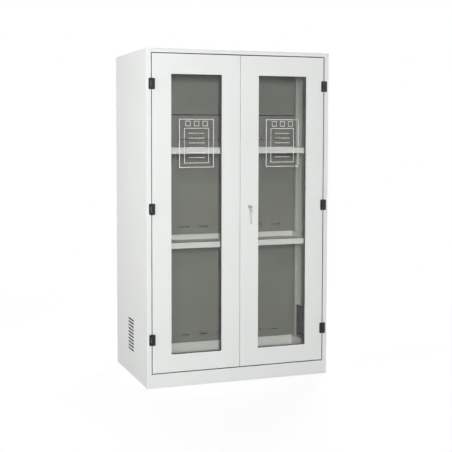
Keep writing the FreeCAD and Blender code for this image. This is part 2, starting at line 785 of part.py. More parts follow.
class Door:
    """One glazed wing door: shell, inner pan, gasket, pane and retaining frame."""

    def __init__(self, side):
        self.side = side
        self.left = side == "left"
        self.corner_x = f"(-{DOOR_WIDTH} - door_gap/2)" if self.left else "(door_gap/2)"
        self.corner = (self.corner_x, FRONT, DOOR_LOW)
        self.free_edge = DOOR_WIDTH if self.left else "0"

    def from_hinge(self, distance):
        """A place along the door, measured from its hinge edge."""
        return distance if self.left else f"{DOOR_WIDTH} - {distance}"

    def rods(self):
        """Centres of the rod slots in the top and the bottom flange, in the door's frame."""
        if self.left:
            centre = f"({DOOR_WIDTH} - bolt_edge)"
            return {"top": centre, "bottom": centre}
        return {"top": "(lock_edge + rod_offset)", "bottom": "(lock_edge - rod_offset)"}

    def shell(self):
        """The outer shell: a skin with the window cut out and a flange all round."""
        piece = Piece(f"{self.side}_door_shell", self.corner)
        outline = piece.facing().rectangle("0", "0", DOOR_WIDTH, DOOR_HEIGHT).rectangle(*window("0"))
        piece.pad(outline, "sheet", flip=True)

        def window_corners(edge, box):
            x = edge.Vertexes[0].X
            return runs_along(edge, 1) and not near(x, box.XMin) and not near(x, box.XMax)

        piece.dress("Fillet", "window_corner", window_corners)
        ring = piece.facing().rectangle("0", "0", DOOR_WIDTH, DOOR_HEIGHT)
        ring.rectangle("sheet", "sheet", f"{DOOR_WIDTH} - sheet", f"{DOOR_HEIGHT} - sheet")
        piece.pad(ring, "door_thick", flip=True)

        def rim(edge, box):
            x, z = edge.Vertexes[0].X, edge.Vertexes[0].Z
            at_front = near(edge.BoundBox.YMax, box.YMin)
            sides = runs_along(edge, 2) and (near(x, box.XMin) or near(x, box.XMax))
            ends = runs_along(edge, 0) and (near(z, box.ZMin) or near(z, box.ZMax))
            return at_front and (sides or ends)

        piece.dress("Fillet", "bend", rim)
        holes = piece.facing()
        for height in HINGE_HEIGHTS:
            for way in ("+", "-"):
                x = self.from_hinge("(screw_out - door_gap/2)")
                z = f"{height} - {DOOR_LOW} {way} screw_spacing/2"
                holes.circle(x, z, "screw_radius + hole_room")
        if not self.left:
            holes.circle("lock_edge", "hinge_middle_rise", "housing_radius + hole_room")
        piece.cut(holes, "4*sheet")
        for end, level in (("bottom", "0"), ("top", DOOR_HEIGHT)):
            centre = self.rods()[end]
            slot = piece.flat(level).rectangle(
                f"{centre} - {ROD_HALF_ROOM}", ROD_ROOM_FRONT, f"{centre} + {ROD_HALF_ROOM}", ROD_ROOM_BACK
            )
            piece.cut(slot, "4*sheet")

    def pan(self):
        """The inner pan: it closes the back of the shell and lines the window opening."""
        piece = Piece(f"{self.side}_door_pan", self.corner)
        edge = "(sheet + fit_gap)"
        right, top = f"{DOOR_WIDTH} - {edge}", f"{DOOR_HEIGHT} - {edge}"
        plate = piece.facing(PAN_FRONT).rectangle(edge, edge, right, top)
        plate.rectangle(*window("reveal"))
        piece.pad(plate, "thin_sheet", flip=True)
        lining_front = f"({GLASS_BACK} + thin_sheet + fit_gap)"
        lining = piece.facing(lining_front).rectangle(*window("reveal + thin_sheet"))
        lining.rectangle(*window("reveal"))
        piece.pad(lining, f"door_thick - {lining_front}", flip=True)
        if self.left:
            self.cut_thumb_slots(piece)

    def cut_thumb_slots(self, piece):
        """Slots in the left pan for the thumb tabs of its two bolts, from rest to full throw."""
        slots = piece.facing(PAN_FRONT)
        x = self.rods()["top"]
        half = "(bolt_tab/2 + rod_room)"
        for edge, way in (("0", -1), (DOOR_HEIGHT, 1)):
            rest = f"{edge} - {turned('(rod_recess + bolt_length/2)', way)}"
            drawn = f"{rest} - {turned(half, way)}"
            thrown = f"{rest} + {turned(f'({half} + bolt_throw)', way)}"
            slots.rectangle(f"{x} - {half}", drawn, f"{x} + {half}", thrown)
        piece.cut(slots, "4*thin_sheet")

    def glazing(self):
        """The gasket against the skin, the pane behind it and the frame that holds the pane."""
        gasket = Piece(f"{self.side}_glass_gasket", self.corner)
        outline = gasket.facing("sheet").rectangle(*window("glass_lap")).rectangle(*window("reveal/2"))
        gasket.pad(outline, "gasket_thick", flip=True)
        pane = Piece(f"{self.side}_glass", self.corner)
        outline = pane.facing("sheet + gasket_thick").rectangle(*window("glass_lap"))
        pane.pad(outline, "glass_thick", flip=True)
        holder = Piece(f"{self.side}_glass_frame", self.corner)
        outer, inner = window("glass_lap + fit_gap + thin_sheet"), window("glass_lap + fit_gap")
        flange = holder.facing(GLASS_BACK).rectangle(*outer).rectangle(*window("reveal"))
        holder.pad(flange, "thin_sheet", flip=True)
        skirt = holder.facing("sheet").rectangle(*outer).rectangle(*inner)
        holder.pad(skirt, f"{GLASS_BACK} + thin_sheet - sheet", flip=True)

    def build(self):
        """Make every piece of the door."""
        self.shell()
        self.pan()
        self.glazing()


def door_seal():
    """The foam strip on the stop lips, all round the opening."""
    piece = Piece("door_seal", ("0", FRONT, "0"))
    outer_x = "(width/2 - stile_face - sheet)"
    low = "(floor_gap + plinth_face + sheet)"
    high = "(height - header_face - sheet)"
    back = "(door_thick + fit_gap)"
    ring = piece.facing(back).rectangle(f"-{outer_x}", low, outer_x, high)
    ring.rectangle(
        f"-{outer_x} + seal_width", f"{low} + seal_width", f"{outer_x} - seal_width", f"{high} - seal_width"
    )
    piece.pad(ring, "seal_thick", flip=True)


# -------------------------------------------------------------------------------------- hinges


def hinge_leaf(name, way, on_frame):
    """A leaf about its pin: the frame's leaf has the end knuckles, the door's leaf the middle one."""
    leaf = Piece(name, kept=False)
    reach = turned("hinge_width/2", way)
    leaf.pad(
        leaf.flat().rectangle("0", "hinge_axis_out - leaf_thick", reach, "hinge_axis_out"),
        "hinge_height",
        centred=True,
    )

    def corners(edge, box):
        return runs_along(edge, 1) and near(edge.Vertexes[0].X, box.XMax if way > 0 else box.XMin)

    leaf.dress("Fillet", "hinge_corner", corners)
    leaf.pad(leaf.flat().circle("0", "0", "knuckle_radius"), "hinge_height", centred=True)
    room = "(knuckle_radius + knuckle_room)"
    half = "(knuckle_height/2 + knuckle_gap/2)" if on_frame else "(knuckle_height/2 - knuckle_gap/2)"
    gaps = leaf.facing()
    if on_frame:
        gaps.rectangle(f"-{room}", f"-{half}", room, half)
    else:
        gaps.rectangle(f"-{room}", half, room, "hinge_height")
        gaps.rectangle(f"-{room}", "-hinge_height", room, f"-{half}")
    leaf.cut(gaps, "4*hinge_width")
    leaf.cut(leaf.flat().circle("0", "0", "pin_radius + run_gap"), "2*hinge_height")
    holes = leaf.facing("hinge_axis_out")
    for side in ("", "-"):
        holes.circle(turned("screw_out", way), f"{side}screw_spacing/2", "screw_radius + hole_room")
    leaf.cut(holes, "4*leaf_thick")

    def mouths(edge, box):
        faces_front = spans(edge)[1] < 0.01
        return is_round(edge) and faces_front and not near(edge.BoundBox.YMax, box.YMax)

    leaf.dress("Chamfer", "screw_head - screw_radius", mouths)
    return leaf.body


def countersunk_screw():
    """A countersunk screw about its own axis, which points to the back from the head's face."""
    head = doc.addObject("Part::Cone", "screw_head_cone")
    bind(head, Radius1="screw_head", Radius2="screw_radius", Height="screw_head - screw_radius")
    shank = doc.addObject("Part::Cylinder", "screw_shank")
    bind(shank, Radius="screw_radius", Height="screw_length")
    screw = doc.addObject("Part::MultiFuse", "countersunk_screw")
    screw.Shapes = [head, shank]
    return screw


def hinges():
    """Three hinges a side, each with two leaves, a pin and four screws."""
    pin = doc.addObject("Part::Cylinder", "hinge_pin")
    bind(pin, Radius="pin_radius", Height="hinge_height + 2*pin_proud")
    screw = countersunk_screw()
    to_back = FreeCAD.Rotation(FreeCAD.Vector(1, 0, 0), -90)
    axis_y = f"{FRONT} - hinge_axis_out"
    face_y = f"{FRONT} - leaf_thick"
    pins, frame_screws = [], []
    for side, way in (("left", 1), ("right", -1)):
        axis_x = turned(HINGE_X, -way)
        spots = [(axis_x, axis_y, height) for height in HINGE_HEIGHTS]
        frame_leaf = hinge_leaf(f"{side}_frame_leaf", -way, True)
        door_leaf = hinge_leaf(f"{side}_door_leaf", way, False)
        group(f"{side}_hinge_frame_leaves", [(frame_leaf, spot) for spot in spots])
        group(f"{side}_hinge_door_leaves", [(door_leaf, spot) for spot in spots])
        pins += [(pin, (x, y, f"{height} - hinge_height/2 - pin_proud")) for x, y, height in spots]
        door_screws = []
        for height in HINGE_HEIGHTS:
            for sign in ("+", "-"):
                level = f"{height} {sign} screw_spacing/2"
                frame_screws.append((screw, (f"{axis_x} - {turned('screw_out', way)}", face_y, level)))
                door_screws.append((screw, (f"{axis_x} + {turned('screw_out', way)}", face_y, level)))
        group(f"{side}_hinge_door_screws", door_screws, to_back)
    group("hinge_pins", pins)
    group("hinge_frame_screws", frame_screws, to_back)


# ------------------------------------------------------------------------- lock, rods and bolts


def lock():
    """The cylinder lock of the right door: rosette, housing, nut, plug and two-pin cam."""
    at_axis = (LOCK_X, FRONT, LOCK_Z)
    bore = "plug_radius + run_gap"
    rosette = Piece("lock_rosette", at_axis)
    outline = rosette.facing().circle("0", "0", "rosette_radius").circle("0", "0", "housing_radius")
    rosette.pad(outline, "rosette_thick")

    def outer_front(edge, box):
        return is_round(edge) and near(spans(edge)[0], box.XLength) and near(edge.BoundBox.YMax, box.YMin)

    rosette.dress("Fillet", "rosette_thick/2", outer_front)
    housing = Piece("lock_housing", at_axis)
    ring = housing.facing("-housing_proud").circle("0", "0", "housing_radius").circle("0", "0", bore)
    housing.pad(ring, f"housing_proud + {HOUSING_BACK}", flip=True)
    nut = Piece("lock_nut", at_axis)
    ring = nut.facing("sheet").hexagon("lock_nut_hex").circle("0", "0", "housing_radius")
    nut.pad(ring, "lock_nut_thick", flip=True)
    plug = Piece("lock_plug", at_axis)
    face = "-(housing_proud + plug_proud)"
    barrel = plug.facing(face).circle("0", "0", "plug_radius")
    plug.pad(barrel, f"housing_proud + plug_proud + {PLUG_BACK}", flip=True)
    boss = plug.facing(PLUG_BACK).rectangle("-cam_square/2", "-cam_square/2", "cam_square/2", "cam_square/2")
    plug.pad(boss, "cam_thick", flip=True)
    half_width, half_thick = "(key_width/2 + key_play)", "(key_thick/2 + key_play)"
    keyway = plug.facing(face).rectangle(f"-{half_width}", f"-{half_thick}", half_width, half_thick)
    plug.cut(keyway, "key_depth + key_play", centred=False)
    cam = Piece("lock_cam", at_axis)
    slant = FreeCAD.Rotation(FreeCAD.Vector(0, 1, 0), 45)
    cam.body.Placement = FreeCAD.Placement(cam.body.Placement.Base, slant)
    bar = cam.facing(PLUG_BACK).slot(
        "-cam_reach - cam_width/2", "cam_reach + cam_width/2", "0", "cam_width/2"
    )
    cam.pad(bar, "cam_thick", flip=True)
    square = cam.facing(PLUG_BACK).polygon(
        [("cam_square*sqrt(0.5)", "0"), ("0", "cam_square*sqrt(0.5)"),
         ("-cam_square*sqrt(0.5)", "0"), ("0", "-cam_square*sqrt(0.5)")]
    )
    cam.cut(square, "4*cam_thick")
    pins = cam.facing(f"{PLUG_BACK} + cam_thick")
    pins.circle("cam_reach", "0", "cam_pin").circle("-cam_reach", "0", "cam_pin")
    cam.pad(pins, "cam_gap + rod_thick", flip=True)


def rod(node, way):
    """A lock rod: a flat bar with a slotted yoke on the cam's pin; way is +1 up or -1 down."""
    piece = Piece(node, (LOCK_X, FRONT, LOCK_Z))
    centre = turned("rod_offset", way)
    pin_z = turned(CAM_SIDE, -way)
    top, bottom = f"({DOOR_HEIGHT} - hinge_middle_rise - rod_recess)", "(-hinge_middle_rise + rod_recess)"
    tip = top if way > 0 else bottom
    yoke_near = f"{pin_z} - {turned('yoke_height/2', way)}"
    bar = piece.facing(ROD_BACK).rectangle(
        f"{centre} - rod_width/2", pin_z, f"{centre} + rod_width/2", tip
    )
    piece.pad(bar, "rod_thick", flip=True)
    yoke_far = f"{pin_z} + {turned('yoke_height/2', way)}"
    yoke = piece.facing(ROD_BACK).rectangle(
        f"{centre} - yoke_width/2", yoke_near, f"{centre} + yoke_width/2", yoke_far
    )
    piece.pad(yoke, "rod_thick", flip=True)
    middle = turned(f"(cam_reach + {CAM_SIDE})/2", way)
    half = f"((cam_reach - {CAM_SIDE})/2 + cam_pin + cam_play)"
    groove = piece.facing(ROD_BACK).slot(
        f"{middle} - {half}", f"{middle} + {half}", pin_z, "(cam_pin + cam_play)"
    )
    piece.cut(groove, "4*rod_thick")


def bolt(node, top):
    """A flat bolt of the left door, with a thumb tab that reaches through the pan."""
    base = f"({DOOR_LOW} + {DOOR_HEIGHT} - rod_recess - bolt_length)" if top else f"({DOOR_LOW} + rod_recess)"
    piece = Piece(node, ("-(door_gap/2 + bolt_edge)", FRONT, base))
    bar = piece.facing(ROD_BACK).rectangle("-rod_width/2", "0", "rod_width/2", "bolt_length")
    piece.pad(bar, "rod_thick", flip=True)
    low, high = "bolt_length/2 - bolt_tab/2", "bolt_length/2 + bolt_tab/2"
    tab = piece.facing(f"{ROD_BACK} + rod_thick").rectangle("-bolt_tab/2", low, "bolt_tab/2", high)
    piece.pad(tab, f"door_thick + bolt_tab_reach - {ROD_BACK} - rod_thick", flip=True)


def guides():
    """Guide blocks on the pans: four for the rods and four for the bolts."""
    block = Piece("guide_block", kept=False)
    front = f"({ROD_BACK} - guide_wall)"
    profile = [
        ("-guide_width/2", front),
        ("guide_width/2", front),
        ("guide_width/2", PAN_FRONT),
        (ROD_HALF_ROOM, PAN_FRONT),
        (ROD_HALF_ROOM, ROD_ROOM_FRONT),
        (f"-{ROD_HALF_ROOM}", ROD_ROOM_FRONT),
        (f"-{ROD_HALF_ROOM}", PAN_FRONT),
        ("-guide_width/2", PAN_FRONT),
    ]
    block.pad(block.flat().polygon(profile), "guide_height", centred=True)
    rod_spots = []
    for way, column in ((1, f"{LOCK_X} + rod_offset"), (-1, f"{LOCK_X} - rod_offset")):
        for distance in ("guide_near", "guide_far"):
            rod_spots.append((block.body, (column, FRONT, f"{LOCK_Z} + {turned(distance, way)}")))
    group("rod_guides", rod_spots)
    bolt_spots = []
    for edge, way in ((DOOR_LOW, 1), (f"{DOOR_LOW} + {DOOR_HEIGHT}", -1)):
        for distance in ("bolt_guide_drop", "bolt_length - bolt_guide_drop"):
            spot = ("-(door_gap/2 + bolt_edge)", FRONT, f"{edge} + {turned(distance, way)}")
            bolt_spots.append((block.body, spot))
    group("bolt_guides", bolt_spots)


def lock_key():
    """The key in the lock: its bow lies level and has a wide slot for the ring."""
    piece = Piece("lock_key", (LOCK_X, FRONT, LOCK_Z))
    face = "(housing_proud + plug_proud)"
    tip = f"key_depth - {face}"
    blade = piece.flat().rectangle("-key_width/2", f"-{BOW_FRONT} - bow_rim", "key_width/2", tip)
    piece.pad(blade, "key_thick", centred=True)
    bow = piece.flat().circle("0", f"-{BOW_FRONT} - bow_radius", "bow_radius")
    piece.pad(bow, "key_thick", centred=True)
    slot_front = f"(-{BOW_FRONT} - 2*bow_radius + bow_rim)"
    hole = piece.flat().rectangle(
        "-bow_slot_width/2", slot_front, "bow_slot_width/2", f"{slot_front} + bow_slot_length"
    )
    piece.cut(hole, "4*key_thick")


def key_bunch():
    """The ring on the key's bow and the two keys that hang from it."""
    ring = doc.addObject("Part::Torus", "key_ring")
    ring.Label = "key_ring"
    bind(ring, Radius1="ring_radius", Radius2="ring_wire")
    ring.Placement = FreeCAD.Placement(FreeCAD.Vector(), FreeCAD.Rotation(FreeCAD.Vector(0, 1, 0), 90))
    ring_y = f"{FRONT} + {RIM_BACK}"
    ring_z = f"{LOCK_Z} + {RING_DROP}"
    place(ring, (LOCK_X, ring_y, ring_z))
    nodes.append(ring)
    for node, blade_length, side in (("long_key", "long_blade", "-"), ("spare_key", "short_blade", "+")):
        corner = (LOCK_X, f"{ring_y} {side} hang_side", f"{ring_z} - ring_radius - hang_drop")
        piece = Piece(node, corner)
        drop = "(hang_bow - hang_hole - hang_rim)"
        bow = piece.facing().circle("0", f"-{drop}", "hang_bow")
        piece.pad(bow, "key_thick", centred=True)
        blade = piece.facing().rectangle(
            "-key_width/2", f"-{drop} - {blade_length}", "key_width/2", f"-{drop}"
        )
        piece.pad(blade, "key_thick", centred=True)
        piece.cut(piece.facing().circle("0", "0", "hang_hole"), "4*key_thick")


# ---------------------------------------------------------------------------------------- build

side_panel("left_side_panel", 1)
side_panel("right_side_panel", -1)
rails()
roof_panel()
back_panel()
floor_panel()
base_channel("left_base_channel", 1)
base_channel("right_base_channel", -1)
feet()
rear_wall()
exhaust_spigot()
shelf_standards()
shelf_clips()
trays()
door_seal()
Door("left").build()
Door("right").build()
hinges()
lock()
rod("upper_rod", 1)
rod("lower_rod", -1)
bolt("upper_bolt", True)
bolt("lower_bolt", False)
guides()
lock_key()
key_bunch()

doc.recompute()
faults = [item.Name for item in doc.Objects if "Invalid" in item.State or "Error" in item.State]
if faults:
    raise RuntimeError(f"features that failed: {faults}")
for node in nodes:
    if node.Shape.isNull() or not node.Shape.isValid():
        raise RuntimeError(f"{node.Label} has no valid shape")

os.makedirs("parts", exist_ok=True)
for node in nodes:
    node.Shape.exportStep(f"parts/{node.Label}.step")
print(len(nodes), "sub-parts")
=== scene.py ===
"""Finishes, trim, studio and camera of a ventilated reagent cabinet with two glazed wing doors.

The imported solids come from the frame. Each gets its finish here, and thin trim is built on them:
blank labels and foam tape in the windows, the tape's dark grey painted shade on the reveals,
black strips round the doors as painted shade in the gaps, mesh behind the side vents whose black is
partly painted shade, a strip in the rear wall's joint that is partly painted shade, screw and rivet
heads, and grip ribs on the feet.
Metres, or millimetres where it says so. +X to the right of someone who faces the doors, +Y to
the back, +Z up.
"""

import json
import logging
import math
from dataclasses import dataclass, field
from enum import Enum, StrEnum

import bmesh
import bpy
from mathutils import Euler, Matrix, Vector

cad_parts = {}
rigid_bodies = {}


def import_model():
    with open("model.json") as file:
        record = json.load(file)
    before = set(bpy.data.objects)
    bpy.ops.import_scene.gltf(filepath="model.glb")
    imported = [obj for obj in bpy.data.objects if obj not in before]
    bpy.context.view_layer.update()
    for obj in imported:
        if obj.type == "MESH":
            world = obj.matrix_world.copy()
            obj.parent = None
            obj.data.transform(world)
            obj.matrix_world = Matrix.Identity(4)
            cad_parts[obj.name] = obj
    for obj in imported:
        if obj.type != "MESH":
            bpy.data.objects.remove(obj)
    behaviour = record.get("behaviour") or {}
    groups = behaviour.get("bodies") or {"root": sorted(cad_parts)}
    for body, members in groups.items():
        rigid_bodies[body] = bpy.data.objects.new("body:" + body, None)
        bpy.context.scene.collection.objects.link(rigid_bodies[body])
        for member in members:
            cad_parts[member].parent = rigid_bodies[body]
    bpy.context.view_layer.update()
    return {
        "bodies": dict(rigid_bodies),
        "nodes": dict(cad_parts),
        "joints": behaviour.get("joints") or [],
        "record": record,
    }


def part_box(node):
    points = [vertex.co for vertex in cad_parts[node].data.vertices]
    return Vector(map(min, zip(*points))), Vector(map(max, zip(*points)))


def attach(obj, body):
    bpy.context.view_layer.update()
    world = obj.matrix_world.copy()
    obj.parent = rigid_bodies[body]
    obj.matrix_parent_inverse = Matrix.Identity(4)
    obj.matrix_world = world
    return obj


LOG = logging.getLogger("reagent_cabinet")
MM = 0.001

Colour = tuple[float, float, float, float]
Box = tuple[float, float, float, float]  # left, low, right and high, seen from the front
Depth = tuple[float, float]  # where a bar's front and back lie
Maker = bmesh.types.BMesh
Material = bpy.types.Material
Mesh = bpy.types.Mesh
Node = bpy.types.Node
Piece = bpy.types.Object
Socket = bpy.types.NodeSocket
Tree = bpy.types.NodeTree

FORWARD, BACKWARD, UPWARD = Vector((0, -1, 0)), Vector((0, 1, 0)), Vector((0, 0, 1))
WHITE: Colour = (1.0, 1.0, 1.0, 1.0)


# ---- node help


def linear(hex_colour: str) -> Colour:
    """Turn an sRGB hex colour into the linear colour that shaders use, by the standard's curve.

    Args:
        hex_colour: six hex digits with a leading hash.

    Returns:
        Red, green, blue and an alpha of 1.
    """
    channels = [int(hex_colour[start : start + 2], 16) / 255 for start in (1, 3, 5)]
    curved = [c / 12.92 if c <= 0.04045 else ((c + 0.055) / 1.055) ** 2.4 for c in channels]
    return (*curved, 1.0)


def add_node(tree: Tree, kind: str, inputs: dict | None = None, **settings: object) -> Node:
    """Add a node with its settings and links.

    Args:
        tree: the tree to add to.
        kind: the node's type name.
        inputs: socket name or number to a value, or to another node's output.
        **settings: attributes of the node itself.

    Returns:
        The new node.
    """
    node = tree.nodes.new(kind)
    for name, value in settings.items():
        setattr(node, name, value)
    for key, value in (inputs or {}).items():
        socket = node.inputs[key]
        if isinstance(value, bpy.types.NodeSocket):
            tree.links.new(value, socket)
        else:
            socket.default_value = value
    return node


PLAIN, SOFT, FINE, GRAINY = 1.0, 2.0, 4.0, 5.0  # how many finer layers a noise holds
NOISE_MIDDLE = {"From Min": 0.3, "From Max": 0.7}  # where most of a noise's values lie
MIX_FIRST, MIX_SECOND, MIX_RESULT = 6, 7, 2  # the mix node's sockets for colours


class Canvas:
    """A material under construction: its tree, its object coordinates and its output."""

    def __init__(self, name: str) -> None:
        """Start an empty material.

        Args:
            name: the material's name.
        """
        self.material = bpy.data.materials.new(name)
        self.material.use_nodes = True
        self.tree = self.material.node_tree
        self.tree.nodes.clear()
        self.place = self.add("ShaderNodeTexCoord").outputs["Object"]

    def add(self, kind: str, inputs: dict | None = None, **settings: object) -> Node:
        """Add a node to this material's tree."""
        return add_node(self.tree, kind, inputs, **settings)

    def stretched(self, stretch: tuple[float, float, float]) -> Socket:
        """Object coordinates scaled along each axis, for grain that runs one way."""
        inputs = {"Vector": self.place, "Scale": stretch}
        return self.add("ShaderNodeMapping", inputs).outputs["Vector"]

    def noise(self, size_mm: float, detail: float, vector: Socket | None = None) -> Socket:
        """Noise whose patches are about a real size.

        Args:
            size_mm: the patches' size in millimetres.
            detail: how many finer layers it holds.
            vector: coordinates, the object's own if left out.

        Returns:
            The socket with values from 0 to 1.
        """
        inputs = {"Vector": vector or self.place, "Scale": 1 / (size_mm * MM), "Detail": detail}
        return self.add("ShaderNodeTexNoise", inputs).outputs["Fac"]

    def spread(self, source: Socket, low: float = 0.0, high: float = 1.0) -> Socket:
        """Map the middle of a noise's range onto a range of values."""
        inputs = {"Value": source, **NOISE_MIDDLE, "To Min": low, "To Max": high}
        return self.add("ShaderNodeMapRange", inputs, clamp=True).outputs["Result"]

    def tones(self, share: Socket, first: str, second: str) -> Socket:
        """Mix two hex colours by the second one's share."""
        inputs = {"Factor": share, MIX_FIRST: linear(first), MIX_SECOND: linear(second)}
        return self.add("ShaderNodeMix", inputs, data_type="RGBA").outputs[MIX_RESULT]

    def bump(self, height: Socket, relief_mm: float, strength: float) -> Socket:
        """A bumped normal of a given real relief."""
        inputs = {"Height": height, "Distance": relief_mm * MM, "Strength": strength}
        return self.add("ShaderNodeBump", inputs).outputs["Normal"]

    def layers(self, share: Socket, first: Socket, second: Socket) -> Socket:
        """Mix two shaders by the second one's share."""
        return self.add("ShaderNodeMixShader", {0: share, 1: first, 2: second}).outputs[0]

    def finish(self, shader: Socket) -> Material:
        """Link the shader to the output and hand the material over."""
        self.add("ShaderNodeOutputMaterial", {"Surface": shader})
        return self.material

    def principled(self, inputs: dict) -> Material:
        """Finish with a principled shader of these inputs."""
        return self.finish(self.add("ShaderNodeBsdfPrincipled", inputs).outputs[0])


# ---- finishes


@dataclass(frozen=True)
class PowderCoat:
    """Polyester powder coat baked on sheet steel: satin, with a fine orange-peel skin."""

    name: str
    colour: str
    cloud: str
    roughness: float = 0.46
    cloud_mm: float = 420.0
    handled_mm: float = 60.0
    smoother: float = 0.05
    rougher: float = 0.06
    peel_mm: float = 2.4  # real peel is about 1 mm, drawn coarser so that it shows
    relief_mm: float = 0.05
    strength: float = 0.35
    ior: float = 1.5

    def material(self) -> Material:
        """Satin paint; peel breaks its highlights and the film's depth clouds its tone.

        Returns:
            The material.
        """
        canvas = Canvas(self.name)
        tone = canvas.spread(canvas.noise(self.cloud_mm, SOFT))
        peel = canvas.noise(self.peel_mm, SOFT)
        handled = canvas.noise(self.handled_mm, FINE)
        low, high = self.roughness - self.smoother, self.roughness + self.rougher
        inputs = {
            "Base Color": canvas.tones(tone, self.colour, self.cloud),
            "Roughness": canvas.spread(handled, low, high),
            "Normal": canvas.bump(peel, self.relief_mm, self.strength),
            "IOR": self.ior,
        }
        return canvas.principled(inputs)


@dataclass(frozen=True)
class PlatedMetal:
    """Plated or rolled metal with tarnish clouds and a fine grain that may run one way."""

    name: str
    colour: str
    dull: str
    roughness: float
    grain: tuple[float, float, float] = (1.0, 1.0, 1.0)
    grain_mm: float = 2.0
    relief_mm: float = 0.01
    strength: float = 0.25
    smoother: float = 0.06
    rougher: float = 0.08
    wear_mm: float = 45.0

    def material(self) -> Material:
        """Bright metal whose grain breaks the highlight; duller where the plating is thin.

        Returns:
            The material.
        """
        canvas = Canvas(self.name)
        grain = canvas.noise(self.grain_mm, FINE, canvas.stretched(self.grain))
        wear = canvas.spread(canvas.noise(self.wear_mm, FINE))
        low, high = self.roughness - self.smoother, self.roughness + self.rougher
        inputs = {
            "Base Color": canvas.tones(wear, self.colour, self.dull),
            "Metallic": 1.0,
            "Roughness": canvas.spread(grain, low, high),
            "Normal": canvas.bump(grain, self.relief_mm, self.strength),
        }
        return canvas.principled(inputs)


@dataclass(frozen=True)
class Skin:
    """A moulded, coated or printed skin: two tones in worn patches and a fine relief."""

    name: str
    colour: str
    worn: str
    patch_mm: float
    patch_detail: float
    smooth: float
    rough: float
    relief_mm: float
    strength: float
    specular: float = 0.5

    def texture(self, canvas: Canvas, patches: Socket) -> tuple[Socket, Socket]:
        """What varies the gloss, and what raises the relief: the patches, if nothing finer."""
        return patches, patches

    def material(self) -> Material:
        """Mix the two tones by the patches and break the highlight with the texture.

        Returns:
            The material.
        """
        canvas = Canvas(self.name)
        patches = canvas.spread(canvas.noise(self.patch_mm, self.patch_detail))
        gloss, relief = self.texture(canvas, patches)
        inputs = {
            "Base Color": canvas.tones(patches, self.colour, self.worn),
            "Roughness": canvas.spread(gloss, self.smooth, self.rough),
            "Normal": canvas.bump(relief, self.relief_mm, self.strength),
            "Specular IOR Level": self.specular,
        }
        return canvas.principled(inputs)


@dataclass(frozen=True)
class CastEnamel(Skin):
    """Black stoving enamel on zinc die castings: semi-matt, pebbled, paler where it is rubbed."""

    patch_mm: float = 9.0
    patch_detail: float = FINE
    smooth: float = 0.38
    rough: float = 0.50
    relief_mm: float = 0.06
    strength: float = 0.4
    specular: float = 0.32
    pebble_mm: float = 1.6

    def texture(self, canvas: Canvas, patches: Socket) -> tuple[Socket, Socket]:
        """Pebbles that are finer than the rubbed patches."""
        pebbles = canvas.noise(self.pebble_mm, SOFT)
        return pebbles, pebbles


@dataclass(frozen=True)
class CellRubber(Skin):
    """Extruded EPDM or foamed strip: matt, with a fine cell skin and a chalky bloom."""

    patch_mm: float = 14.0
    patch_detail: float = FINE
    smooth: float = 0.78
    rough: float = 0.92
    relief_mm: float = 0.08
    strength: float = 0.3
    specular: float = 0.25  # an open cell skin mirrors little
    cell_mm: float = 1.2

    def texture(self, canvas: Canvas, patches: Socket) -> tuple[Socket, Socket]:
        """The bloom dulls it and the cells raise it."""
        cells = {"Vector": canvas.place, "Scale": 1 / (self.cell_mm * MM)}
        return patches, canvas.add("ShaderNodeTexVoronoi", cells).outputs[0]


@dataclass(frozen=True)
class MouldedPlastic(Skin):
    """Injection-moulded nylon, spark-eroded, greyer where it has slid on the floor."""

    patch_mm: float = 7.0
    patch_detail: float = GRAINY
    smooth: float = 0.5
    rough: float = 0.66
    relief_mm: float = 0.05
    strength: float = 0.35
    grit_mm: float = 0.9

    def texture(self, canvas: Canvas, patches: Socket) -> tuple[Socket, Socket]:
        """The mould's eroded grit."""
        grit = canvas.noise(self.grit_mm, SOFT)
        return grit, grit


@dataclass(frozen=True)
class PrintedFilm(Skin):
    """Screen-printed white vinyl film on glass, a shade greyer where the ink is thin."""

    patch_mm: float = 5.0
    patch_detail: float = FINE
    smooth: float = 0.42
    rough: float = 0.56
    relief_mm: float = 0.02
    strength: float = 0.2


@dataclass(frozen=True)
class FloatGlass:
    """Clear float glass, cut and seamed: a faint green tint and a thin film of dust."""

    name: str
    tint: str
    dust: str
    ior: float = 1.18  # low, so that the pale room mirrors as weakly as in coated cabinet glass
    roughness: float = 0.02
    wave_mm: float = 160.0
    relief_mm: float = 0.02
    strength: float = 0.2
    dust_mm: float = 120.0
    dust_most: float = 0.02

    def material(self) -> Material:
        """See-through without bending, a little mirror at a slant and dust in soft patches.

        Returns:
            The material.
        """
        canvas = Canvas(self.name)
        clear = canvas.add("ShaderNodeBsdfTransparent", {"Color": linear(self.tint)}).outputs[0]
        wave = canvas.bump(canvas.noise(self.wave_mm, PLAIN), self.relief_mm, self.strength)
        gloss = {"Roughness": self.roughness, "Normal": wave}
        mirror = canvas.add("ShaderNodeBsdfGlossy", gloss).outputs[0]
        fresnel = canvas.add("ShaderNodeFresnel", {"IOR": self.ior}).outputs[0]
        film = canvas.add("ShaderNodeBsdfDiffuse", {"Color": linear(self.dust)}).outputs[0]
        patches = canvas.spread(canvas.noise(self.dust_mm, GRAINY), high=self.dust_most)
        return canvas.finish(canvas.layers(patches, canvas.layers(fresnel, clear, mirror), film))


class Slot(Enum):
    """The record's material slots."""

    BODY = "body_paint"
    INNER = "inner_paint"
    ZINC = "zinc_steel"
    HINGE = "hinge_enamel"
    DARK = "dark_steel"
    LOCK = "lock_chrome"
    KEY = "key_nickel"
    GLASS = "door_glass"
    SEAL = "seal_rubber"
    FOOT = "foot_plastic"


